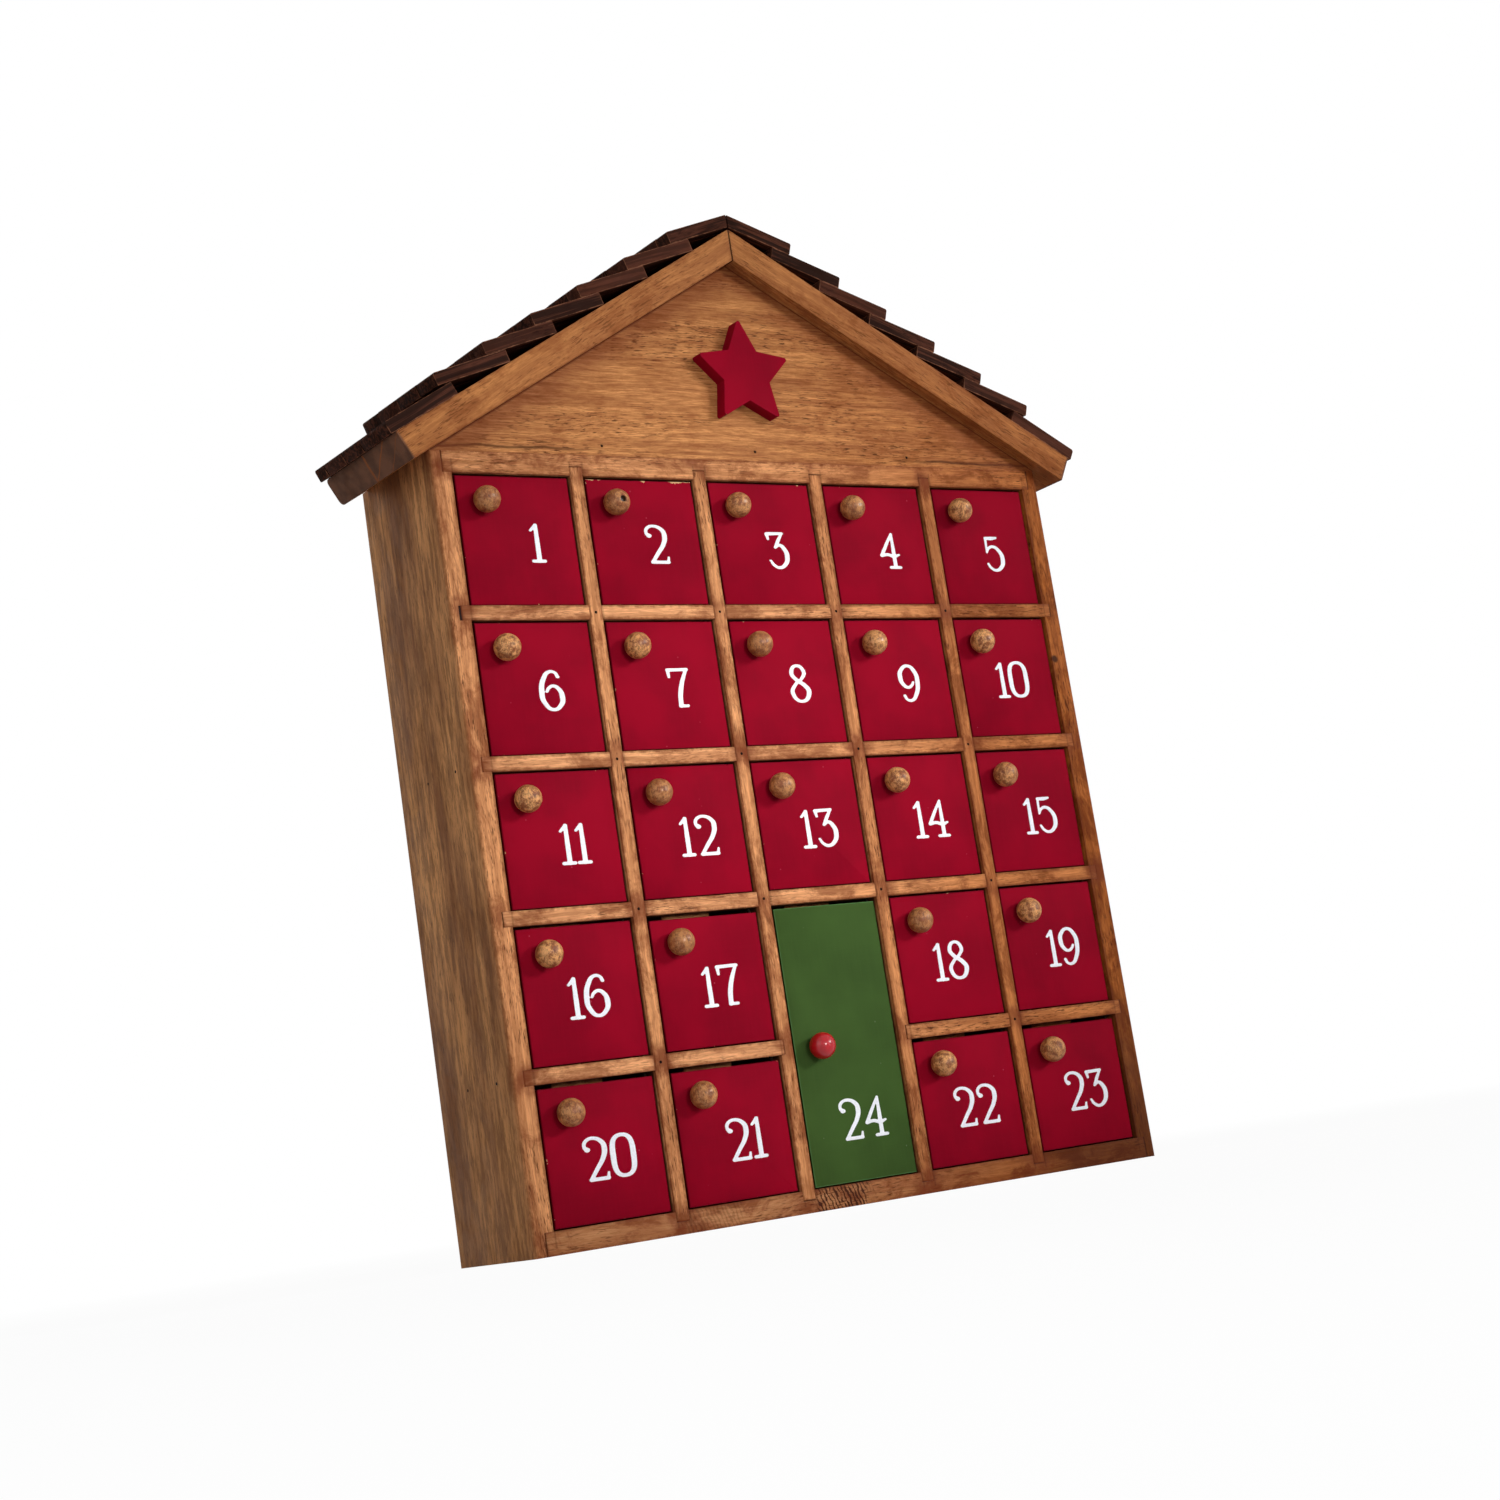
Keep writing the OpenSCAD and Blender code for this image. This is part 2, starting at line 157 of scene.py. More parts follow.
class CalendarNumbers(bpy.types.PropertyGroup):
    height: length("Height", "Height of a digit", 17.2)
    width: length("Width", "Width of a digit", 11.8)
    one_width: length("Width of 1", "Width of the digit 1", 6.4)
    gap: length("Gap", "Space between two digits", 0.7)
    thin: length("Thin", "Thickness of a level stroke", 1.55)
    thick: length("Thick", "Thickness of an upright stroke", 2.35)
    relief: length("Relief", "How far the paint stands off the door", 0.12)
    drop: length("Drop", "From the top of the compartment to the top of the number", 21.3)
    tall_drop: length("Tall Drop", "The same in the tall compartment", 81.7)
    single_end: length(
        "Single End", "Right end of a single digit from the compartment's left", 38.8)
    double_end: length("Double End", "Right end of two digits from the compartment's left", 41.4)


class CalendarEdges(bpy.types.PropertyGroup):
    board: length("Boards", "Rounding of the cabinet's board edges", 0.13)
    corner: length("Corners", "Rounding of the cabinet's outer front corners", 1.1)
    roof: length("Roof Boards", "Rounding of the roof boards' edges", 0.9)
    rear: length("Roof Back", "Rounding of the roof boards' rear edges", 2.5)
    door: length("Doors", "Rounding of the doors' edges", 0.35)
    star: length("Star", "Rounding of the star's edges", 0.5)


class CalendarStage(bpy.types.PropertyGroup):
    floor: colour("Floor", "Colour of the floor", (0.93, 0.93, 0.93))
    key: power("Key Light", "Soft light from the upper right", 0.62)
    front: power("Front Light", "Light on the middle of the front", 0.225)
    fill: power("Fill Light", "Weaker light from the left", 5.2)
    back: power("Back Light", "Weak light from behind", 6)
    ambient: share("Ambient", "Even light from all round", 0.24)
    lens: quantity("Lens", "Focal length", 62.98, min=1, unit="CAMERA")


class CalendarSettings(bpy.types.PropertyGroup):
    wood: bpy.props.PointerProperty(type=CalendarWood)
    roof: bpy.props.PointerProperty(type=CalendarRoof)
    paint: bpy.props.PointerProperty(type=CalendarPaint)
    knobs: bpy.props.PointerProperty(type=CalendarKnobs)
    numbers: bpy.props.PointerProperty(type=CalendarNumbers)
    edges: bpy.props.PointerProperty(type=CalendarEdges)
    stage: bpy.props.PointerProperty(type=CalendarStage)


def linear(shown, tone=1.0):
    """The linear colour that shaders take, from a display colour and how bright it is."""
    steps = [c * tone for c in shown]
    steps = [c / 12.92 if c <= 0.04045 else ((c + 0.055) / 1.055) ** 2.4 for c in steps]
    return (*steps, 1.0)


def paler(shown, amount):
    """A display colour moved towards white."""
    return [c + (1 - c) * amount for c in shown]


def arithmetic(operation, swapped=False):
    """A method of Value that adds a Math node, or a Vector Math node for a vector."""
    def method(self, *others):
        kind = "ShaderNodeMath" if self.socket.type == "VALUE" else "ShaderNodeVectorMath"
        values = (*others, self) if swapped else (self, *others)
        return self.web.value(kind, 0, dict(enumerate(values)), operation=operation)
    return method


class Value:
    """An output of a node. Arithmetic on it adds nodes to the same tree. Least and most give
    the smaller and the larger of two values, fold runs a value to and fro below a limit, and
    near tests it against a middle and a reach."""

    def __init__(self, web, socket):
        self.web, self.socket = web, socket

    __add__, __mul__, __abs__ = arithmetic("ADD"), arithmetic("MULTIPLY"), arithmetic("ABSOLUTE")
    __sub__, __rsub__ = arithmetic("SUBTRACT"), arithmetic("SUBTRACT", swapped=True)
    __truediv__, __rtruediv__ = arithmetic("DIVIDE"), arithmetic("DIVIDE", swapped=True)
    __lt__, __gt__ = arithmetic("LESS_THAN"), arithmetic("GREATER_THAN")
    least, most = arithmetic("MINIMUM"), arithmetic("MAXIMUM")
    fold, near = arithmetic("PINGPONG"), arithmetic("COMPARE")

    def length(self):
        return self.web.value("ShaderNodeVectorMath", "Value", {0: self}, operation="LENGTH")

    def split(self):
        return list(self.web.outputs("ShaderNodeSeparateXYZ", {0: self}).values())

    def span(self, low, high, to_low=0.0, to_high=1.0):
        """Maps a range smoothly, and holds it at its ends."""
        return self.web.value(
            "ShaderNodeMapRange", 0, {0: self, 1: low, 2: high, 3: to_low, 4: to_high},
            interpolation_type="SMOOTHSTEP")

    def noise(self, scale, detail=2.0, roughness=0.5, distortion=0.0):
        """Noise at this place, with one scale or with a scale for each axis."""
        place = self
        if not isinstance(scale, float):
            place, scale = self * scale, 1.0
        return self.web.value("ShaderNodeTexNoise", "Fac", {
            "Vector": place, "Scale": scale, "Detail": detail, "Roughness": roughness,
            "Distortion": distortion})


class Web:
    """Adds linked nodes to one node tree."""

    def __init__(self, tree):
        self.tree = tree

    def add(self, kind, sockets=(), **settings):
        """A new node. A Value that is given to a socket is linked, and a constant is set."""
        node = self.tree.nodes.new(kind)
        for key, setting in settings.items():
            setattr(node, key, setting)
        for key, value in dict(sockets).items():
            if isinstance(value, Value):
                self.tree.links.new(value.socket, node.inputs[key])
            else:
                node.inputs[key].default_value = value
        return node

    def value(self, kind, output, sockets=(), **settings):
        return Value(self, self.add(kind, sockets, **settings).outputs[output])

    def outputs(self, kind, sockets=(), **settings):
        node = self.add(kind, sockets, **settings)
        return {socket.name: Value(self, socket) for socket in node.outputs}

    def effect(self, name, **sockets):
        return self.outputs("ShaderNodeGroup", sockets, node_tree=effect_group(name))

    def join(self, x, y, z):
        return self.value("ShaderNodeCombineXYZ", 0, {0: x, 1: y, 2: z})

    def attribute(self, name, output="Vector"):
        return self.value("ShaderNodeAttribute", output, attribute_name=name)

    def place(self):
        """Object coordinates in millimetres."""
        metres = self.value("ShaderNodeTexCoord", "Object")
        return self.value("ShaderNodeVectorMath", 0, {0: metres, "Scale": 1 / MM},
                          operation="SCALE")

    def seen(self):
        """1 for rays that show a surface to the camera, and 0 for those that light it."""
        ray = self.outputs("ShaderNodeLightPath")
        return ray["Is Camera Ray"].most(ray["Is Glossy Ray"]).most(ray["Is Transmission Ray"])


class Coat:
    """The colour of a surface, with more colours laid over it."""

    def __init__(self, web, shown):
        self.web, self.shade = web, linear(shown)

    def lay(self, mask, shown, tone=1.0, blend="MIX"):
        """Lays a colour, or another coat, where the mask is above 0."""
        top = shown.shade if isinstance(shown, Coat) else linear(shown, tone)
        self.shade = self.web.value(
            "ShaderNodeMix", 2, {0: mask, 6: self.shade, 7: top}, data_type="RGBA",
            blend_type=blend, clamp_factor=True)


def timber(web, grain, spacing):
    """Grain lines, fibre, short dark flecks and cloudy stain of a sawn board. Its vector runs
    along the grain in X, in millimetres."""
    shift = grain.noise((0.008, 0.03, 0.03)) * 10.0 - 5.0
    bent = grain + web.join(0.0, shift, shift)
    tight = 1.0 / spacing
    lines = bent.noise(web.join(0.012, tight, tight), detail=3.0, roughness=0.55)
    fibre = bent.noise((0.12, 1.5, 1.5), detail=3.0, roughness=0.65)
    spots = bent.noise((0.2, 1.7, 1.7), roughness=0.6)
    patch = grain.noise((0.016, 0.045, 0.045))
    clouds = grain.noise((0.045, 0.09, 0.09), detail=7.0, roughness=0.7, distortion=0.5)
    flecks = spots.span(0.54, 0.66) * patch.span(0.40, 0.60, 0.15, 1.0)
    return {"Lines": lines.span(0.36, 0.64), "Fibre": fibre.span(0.38, 0.62), "Flecks": flecks,
            "Clouds": clouds.span(0.46, 0.62), "Height": fibre - flecks * 0.5}


def arris(web, local, half, width, ragged):
    """How near a point is to an edge of its board: 1 at the edge, 0 from the width inwards."""
    a, b, c = (half - abs(local)).split()
    depth = a.least(b).most(a.most(b).least(c))
    uneven = local.noise(0.35, detail=3.0, roughness=0.6)
    shift = (uneven - 0.5) * (ragged * (width * 4.0))
    return {"Mask": (depth + shift).span(0.0, width, 1.0, 0.0), "Depth": depth}


def joints(web, place, reach):
    """Stain that gathers where the uprights and shelves meet, and the thin dark seams beside
    the uprights. Its vector is in millimetres."""
    (pitch_x, at_x), (pitch_z, at_z) = frame_grid()
    x, _, z = place.split()
    near_x = (x - at_x).fold(pitch_x / 2)
    near_z = (z - at_z).fold(pitch_z / 2)
    uneven = place.noise(0.16, detail=4.0, roughness=0.6)
    far = near_x.most(near_z) + (uneven * 16.0 - 8.0)
    patchy = place.noise(0.05).span(0.35, 0.6)
    seam = (uneven * -0.7 + abs(near_x - HALF_DIVIDER)).span(-0.3, 0.35, 1.0, 0.0)
    return {"Mask": far.span(1.0, reach, 1.0, 0.0) * patchy,
            "Seam": seam * near_z.span(2.9, 3.3, 1.0, 0.0)}


def brushed_paint(web, place):
    """Brush strokes, small specks and the unevenness of brushed paint, in millimetres."""
    upright = place.noise((1.1, 1.1, 0.05), detail=3.0, roughness=0.6)
    level = place.noise((0.05, 1.3, 1.5), detail=3.0, roughness=0.6)
    strokes = upright * 0.6 + level * 0.4
    cells = web.outputs("ShaderNodeTexVoronoi", {"Vector": place, "Scale": 0.17,
                                                 "Randomness": 1.0})
    tint = cells["Color"].split()[0]
    specks = cells["Distance"].span(0.035, 0.075, 1.0, 0.0) * (tint > 0.80)
    return {"Strokes": strokes, "Shade": place.noise(0.035, detail=3.0).span(0.3, 0.7),
            "Specks": specks, "Height": strokes + specks * 0.5}


# The function that builds each effect, and its inputs: None is a vector
EFFECTS = {
    "Timber": (timber, {"Vector": None, "Spacing": 3.0}),
    "Arris": (arris, {"Local": None, "Half": None, "Width": 1.0, "Ragged": 0.5}),
    "Joints": (joints, {"Vector": None, "Reach": 9.0}),
    "Brushed Paint": (brushed_paint, {"Vector": None}),
}


def effect_group(name):
    """The node group of an effect, built once, with named inputs and outputs."""
    if name in bpy.data.node_groups:
        return bpy.data.node_groups[name]
    build, inputs = EFFECTS[name]
    tree = bpy.data.node_groups.new(name, "ShaderNodeTree")
    for label, value in inputs.items():
        kind = "NodeSocketVector" if value is None else "NodeSocketFloat"
        socket = tree.interface.new_socket(label, in_out="INPUT", socket_type=kind)
        if value is not None:
            socket.default_value = value
    web = Web(tree)
    start = tree.nodes.new("NodeGroupInput").outputs
    results = build(web, *(Value(web, start[label]) for label in inputs))
    for label in results:
        tree.interface.new_socket(label, in_out="OUTPUT", socket_type="NodeSocketFloat")
    web.add("NodeGroupOutput", results)
    return tree


def new_material(name):
    material = bpy.data.materials.new(name)
    material.use_nodes = True
    material.node_tree.nodes.clear()
    return material, Web(material.node_tree)


def close_material(coat, roughness, specular, height, relief, metallic=0.0):
    """Adds the Principled BSDF, its bump with a relief in millimetres, and the output."""
    web = coat.web
    normal = web.value("ShaderNodeBump", 0, {"Height": height, "Distance": relief * MM,
                                             "Strength": 1.0})
    shader = web.value("ShaderNodeBsdfPrincipled", 0, {
        "Base Color": coat.shade, "Roughness": roughness, "Specular IOR Level": specular,
        "Metallic": metallic, "Normal": normal})
    web.add("ShaderNodeOutputMaterial", {"Surface": shader})


def board_figure(web, spacing):
    """The board's own coordinates, half sizes and tone, from the attributes that mark_boards()
    writes, and its timber."""
    local, half = web.attribute("local"), web.attribute("half")
    tone = web.attribute("tone", "Fac")
    grain = local + web.join(tone, tone, tone) * GRAIN_SHIFT
    return local, half, tone, web.effect("Timber", Vector=grain, Spacing=spacing)


def wood_material(name, light, dark, stain, spacing, lines=0.5, fibre=0.4, clouds=0.5,
                  flecks=0.6, edge=0.6, tips=0.0, crossings=0.0, seams=0.0, inner=0.0,
                  relief=0.1, roughness=0.55, drift=0.0, extra=None):
    """Sawn and stained wood. Tips darkens the ends of the boards, crossings and seams the
    places where boards cross, inner paints shade on the faces behind the doors' fronts, and
    drift paints shade that darkens the cabinet towards its lower right. Extra lays marks of
    its own."""
    material, web = new_material(name)
    local, half, _, figure = board_figure(web, spacing)
    place = web.place()
    x, y, z = place.split()
    coat = Coat(web, light)
    coat.lay(figure["Lines"] * lines, dark)
    coat.lay(figure["Fibre"] * fibre, dark)
    coat.lay(figure["Clouds"] * clouds, stain)
    coat.lay(figure["Flecks"] * flecks, stain, 0.62)
    # Painted shade: the wood darkens towards the cabinet's lower right
    coat.lay((z * -0.1 + x).span(-60.0, 110.0, 0.0, drift), LOWER_RIGHT_SHADE, blend="MULTIPLY")
    edges = web.effect("Arris", Local=local, Half=half, Width=1.3, Ragged=0.7)
    coat.lay(edges["Mask"] * edge, stain)
    tip = half.split()[0] - abs(local.split()[0])
    coat.lay(tip.span(0.2, 0.7, tips, 0.0), stain, 0.35)
    if crossings:
        meet = web.effect("Joints", Vector=place, Reach=10.0)
        coat.lay(meet["Mask"] * crossings, stain)
        coat.lay(meet["Seam"] * seams, stain, 0.45)
    # Painted shade on the faces behind the doors' fronts, in the compartments' recesses
    if inner:
        coat.lay((y - front_of_boards()).span(1.2, 2.6, 0.0, inner), stain, 0.4)
    if extra:
        extra(web, coat, local, half)
    rough = figure["Clouds"].span(0.0, 1.0, roughness, roughness + 0.12)
    close_material(coat, rough, 0.06, figure["Height"], relief)
    return material


def pine_material(name, wood, light, **looks):
    return wood_material(name, light, wood.pine_dark, wood.pine_stain, wood.spacing / MM,
                         roughness=wood.roughness, **looks)


def hatching(web, coat, local, half):
    """Short dark cross lines where the end grain of a finger joint shows in the base board, and
    stain that pooled at its right end."""
    stain = bpy.context.scene.calendar.wood.pine_stain
    along, across, _ = local.split()
    pool = local.noise((0.03, 0.15, 0.15), detail=3.0) * 60.0 + along
    coat.lay(pool.span(105.0, 145.0, 0.0, 0.6), stain, 0.65)
    wave = (local.noise(0.25) * 3.0 + (across * 0.35 + along)).fold(0.95)
    teeth = (local.noise(0.55) * -1.4 + wave).span(-0.45, -0.15, 1.0, 0.0)
    blur = local.noise(0.3) * 12.0
    first, second = [(blur + abs(along - middle)).span(17.0, 22.0, strength, 0.0)
                     for middle, strength in FINGER_JOINTS]
    coat.lay(teeth * first.most(second), stain, 0.5)


def side_marks(web, coat, local, half):
    """The side boards' outer faces, with long upright streaks that fade over the corner, and
    the marks on their front edges."""
    wood = bpy.context.scene.calendar.wood
    stain, dark = wood.pine_stain, wood.side_dark
    low, high = box_mm("side_panels")
    shelf_end = box_mm("shelves")[0].x
    first_shelf = frame_grid()[1][1]
    place = web.place()
    x, y, z = place.split()
    blur = local.noise(0.15, detail=3.0)

    brown = Coat(web, wood.side_light)
    streak = local.noise((0.009, 0.065, 0.065), detail=5.0, roughness=0.6, distortion=0.3)
    brown.lay(streak.span(0.34, 0.66), dark)
    fibre = local.noise((0.05, 0.4, 0.4), detail=5.0, roughness=0.75)
    brown.lay(fibre.span(0.42, 0.60, 0.0, 0.6), dark, 0.72)
    pores = local.noise((0.14, 0.9, 0.9), detail=3.0, roughness=0.7)
    brown.lay(pores.span(0.55, 0.65, 0.0, 0.55), dark, 0.6)
    brown.lay(z.span(20.0, 170.0, 0.3, 0.0), dark, 0.65)

    along, across, _ = local.split()
    flame = abs(across + 1.0) * 0.8 + (along * 0.11 + blur * 3.5)
    flame = flame.fold(1.1).span(0.05, 0.5, 0.4, 0.0)
    here = abs(z - FLAME_HEIGHT).span(22.0, 40.0, 1.0, 0.0) * (x < 0.0)
    coat.lay(flame * here, stain)
    pooled = (blur * 60.0 + z).span(45.0, 130.0, 0.8, 0.0) * x.span(0.0, 1.0)
    coat.lay(pooled, stain, 0.65)
    outer = abs(x).span(high.x - 1.3, high.x - 0.05)
    behind = (blur * 5.0 + (y - low.y)).span(2.0, 8.0, 0.25, 1.0)
    coat.lay(outer * behind, brown)
    slit = x.near(shelf_end - 0.5, 0.6) * z.near(first_shelf, HALF_DIVIDER) * (y < low.y + 1.0)
    coat.lay(slit, stain, 0.3)
    spot = blur * 1.6 + (place - KNOT).length()
    coat.lay(spot.span(1.8, 3.1, 0.9, 0.0), stain, 0.4)


def gable_marks(web, coat, local, half):
    """A dark uneven line along the foot of the gable, fine veins, and painted shade under the
    roof boards: a thin dark line along their lower edges and a cloudy band below it.
    """
    stain = bpy.context.scene.calendar.wood.pine_stain
    low, high = box_mm("gable_panel")
    slope = (high.z - low.z) / high.x
    x, _, z = web.place().split()
    wander = web.join(x, 0.0, 0.0).noise(0.035, detail=3.0)
    line = abs(wander * -5.0 + (z - low.z)).span(0.15, 0.9, 1.0, 0.0)
    coat.lay(line * (abs(x).span(60.0, 110.0) * 0.7), stain, 0.5)
    under = high.z - abs(x) * slope - z
    # Painted shade: a thin dark line just under the roof boards' lower edges
    coat.lay((wander + under).span(0.9, 1.7, 0.8, 0.0), stain, 0.5)
    veins = local.noise((0.018, 0.75, 0.75), detail=3.0, roughness=0.6, distortion=0.2)
    coat.lay(veins.span(0.56, 0.64, 0.0, 0.4), stain)
    # Painted shade: a cloudy band under the roof boards, wider on the right
    cloudy = local.noise((0.03, 0.1, 0.1), detail=4.0) * -14.0 + under
    width = x.span(-60.0, 60.0, 9.0, 15.0)
    coat.lay((cloudy / width).span(-0.5, 1.0, 1.0, 0.0) * 0.6, stain)


def sawn_ends(web, coat, local, half):
    """Dark sawn ends at the eaves, with reddish rings, and a dark line at the mitre."""
    wood = bpy.context.scene.calendar.wood
    along, across, through = local.split()
    reach, _, thick = half.split()
    uneven = local.noise(0.12, detail=3.0)
    across = uneven * 2.5 + across
    lean = (through / thick + 1.0) * 9.5 + across
    ring = abs(across).least(abs(lean)).least(abs(lean + 13.0) + 0.35)
    ends = Coat(web, wood.end_grain)
    ends.lay(uneven.span(0.35, 0.65), wood.end_grain, 0.76)
    ends.lay(ring.span(0.3, 0.9, 0.85, 0.0), wood.pine_dark, 1.1)
    coat.lay((reach - abs(along)).span(0.2, 1.4, 1.0, 0.0), ends)
    mitre = uneven * 0.5 + abs(web.place().split()[0])
    coat.lay(mitre.span(0.45, 0.85, 0.9, 0.0), wood.pine_stain, 0.35)


def paint_material(name, paint, shown, rim, chips, gap=0.0, knocked=None):
    """Brushed satin paint, with a rim tone along its edges, which is painted shade where it is
    darker and a painted highlight where it is lighter, and a few chips where the wood shows.
    Gap paints shade on the faces round a door, behind its front, and the top edge of the
    knocked door has more chips."""
    material, web = new_material(name)
    local, half, place = web.attribute("local"), web.attribute("half"), web.place()
    brush = web.effect("Brushed Paint", Vector=place)
    coat = Coat(web, shown)
    coat.lay(brush["Shade"], shown, 0.88)
    coat.lay(brush["Strokes"].span(0.40, 0.66, 0.0, 0.2), paler(shown, 0.02))
    coat.lay(brush["Specks"] * 0.45, paler(shown, 0.3))
    edges = web.effect("Arris", Local=local, Half=half, Width=0.55, Ragged=0.15)
    # Painted shade along the edges for a darker rim, and a painted highlight for a lighter one
    coat.lay(edges["Mask"] * 0.5, rim)
    flaking = place.noise(0.2, detail=4.0, roughness=0.62)
    chipped = edges["Mask"] * flaking.span(0.68, 0.70)
    if knocked:
        low, high = box_mm(knocked)
        x, _, z = place.split()
        here = (z > high.z - 3) * x.near((low.x + high.x) / 2, (high.x - low.x) / 2)
        chipped = chipped.most(here * (flaking * 6.5 - 3.55 > edges["Depth"]))
    coat.lay(chipped * chips, paint.bare)
    # Painted shade on the door's edge faces behind its front, where the gap round the door is dark
    if gap:
        above, beside, _ = (half - abs(local)).split()
        round_door = above.least(beside).span(0.1, 0.3, 1.0, 0.0)
        behind = (local + half).split()[2].span(0.3, 0.9, 0.0, gap)
        coat.lay(round_door * behind, shown, 0.2)
    rough = brush["Strokes"].span(0.3, 0.7, paint.roughness - 0.05, paint.roughness + 0.08)
    close_material(coat, rough, 0.02, brush["Height"] - chipped * 1.5, 0.03)
    return material


def box_mm(node):
    """The lowest and the highest corner of a CAD node in millimetres."""
    return [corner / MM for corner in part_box(node)]


def front_of_boards():
    """The front plane of the cabinet's boards in millimetres."""
    return box_mm("shelves")[0].y


def frame_grid():
    """Pitch and one centre line, in millimetres, of the uprights in X and of the shelves in Z."""
    lows = sorted({round(box_mm(f"door_{n:02d}")[0].x, 2) for n in range(1, 6)})
    rows = sorted({round(box_mm(f"door_{n:02d}")[0].z, 2) for n in (1, 6, 11)})
    right, top = box_mm("door_01")[1].x, box_mm("door_06")[1].z
    return ((lows[1] - lows[0], (right + lows[1]) / 2), (rows[1] - rows[0], (top + rows[2]) / 2))


def only(*objects):
    """Selects just these objects and makes the first one active."""
    bpy.ops.object.select_all(action="DESELECT")
    for thing in objects:
        thing.select_set(True)
    bpy.context.view_layer.objects.active = objects[0]


def new_piece(name, mesh):
    """An object with a mesh of its own, in the scene."""
    piece = bpy.data.objects.new(name, mesh.copy())
    bpy.context.scene.collection.objects.link(piece)
    return piece


def merged_copy(node, name):
    """A new piece from a CAD node's mesh, with its doubles merged and its flats joined."""
    piece = new_piece(name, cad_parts[node].data)
    piece.data.name = name
    piece.data.materials.clear()
    only(piece)
    bpy.ops.mesh.customdata_custom_splitnormals_clear()
    bpy.ops.object.mode_set(mode="EDIT")
    bpy.ops.mesh.select_all(action="SELECT")
    bpy.ops.mesh.remove_doubles(threshold=0.001 * MM)
    bpy.ops.mesh.dissolve_limited(angle_limit=FLAT_ANGLE)
    bpy.ops.object.mode_set(mode="OBJECT")
    return piece


def ease_edges(piece, width, segments=2, wanted=None):
    """Bevels the long outer edges of a piece, or those of them that are wanted."""
    only(piece)
    bpy.ops.object.mode_set(mode="EDIT")
    bpy.ops.mesh.select_mode(type="EDGE")
    bpy.ops.mesh.select_all(action="DESELECT")
    shape = bmesh.from_edit_mesh(piece.data)
    for edge in shape.edges:
        sharp = (len(edge.link_faces) == 2 and edge.is_convex
                 and edge.calc_face_angle() > SHARP_ANGLE and edge.calc_length() > SHORTEST_EDGE)
        edge.select = sharp and (wanted is None or wanted(edge))
    shape.select_flush_mode()
    bmesh.update_edit_mesh(piece.data)
    bpy.ops.mesh.bevel(offset=width, segments=segments, profile=0.5, affect="EDGES",
                       clamp_overlap=True)
    bpy.ops.object.mode_set(mode="OBJECT")


def boards_of(shape):
    """The vertices of each loose board in a bmesh, in a steady order."""
    shape.verts.ensure_lookup_table()
    seen, boards = set(), []
    for first in shape.verts:
        if first in seen:
            continue
        seen.add(first)
        board, edge = [first], [first]
        while edge:
            for link in edge.pop().link_edges:
                for vertex in link.verts:
                    if vertex not in seen:
                        seen.add(vertex)
                        board.append(vertex)
                        edge.append(vertex)
        boards.append(board)
    return boards


def board_axes(board, grain):
    """Directions along the grain, across it and through the board."""
    if grain == ALONG_X:
        return Vector((1, 0, 0)), Vector((0, 0, 1)), Vector((0, 1, 0))
    if grain == ALONG_Z:
        return Vector((0, 0, 1)), Vector((1, 0, 0)), Vector((0, 1, 0))
    faces = {face for vertex in board for face in vertex.link_faces}
    through = max(faces, key=lambda face: face.calc_area()).normal.copy()
    if through.z < 0:
        through.negate()
    across = Vector((0, 1, 0))
    return across.cross(through).normalized(), across, through


def mark_boards(piece, grain, seed):
    """Writes each board's own coordinates and half sizes, in millimetres, and a tone."""
    chance = random.Random(seed)
    shape = bmesh.new()
    shape.from_mesh(piece.data)
    local = shape.verts.layers.float_vector.new("local")
    half = shape.verts.layers.float_vector.new("half")
    tone = shape.verts.layers.float.new("tone")
    for board in boards_of(shape):
        axes = board_axes(board, grain)
        places = [Vector([vertex.co.dot(axis) / MM for axis in axes]) for vertex in board]
        low = Vector([min(p[k] for p in places) for k in range(3)])
        high = Vector([max(p[k] for p in places) for k in range(3)])
        middle, size, shade = (low + high) / 2, (high - low) / 2, chance.random()
        for vertex, place in zip(board, places):
            vertex[local] = place - middle
            vertex[half] = size
            vertex[tone] = shade
    shape.to_mesh(piece.data)
    shape.free()


def finish_piece(piece, body, material, nodes=()):
    """Gives a piece its shading, material, body and the CAD nodes it replaces."""
    only(piece)
    bpy.ops.object.shade_smooth_by_angle(angle=SMOOTH_ANGLE)
    piece.data.materials.clear()
    piece.data.materials.append(material)
    if nodes:
        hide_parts(*nodes)
    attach(piece, body)


def door_body(number):
    return f"door_body_{number:02d}"


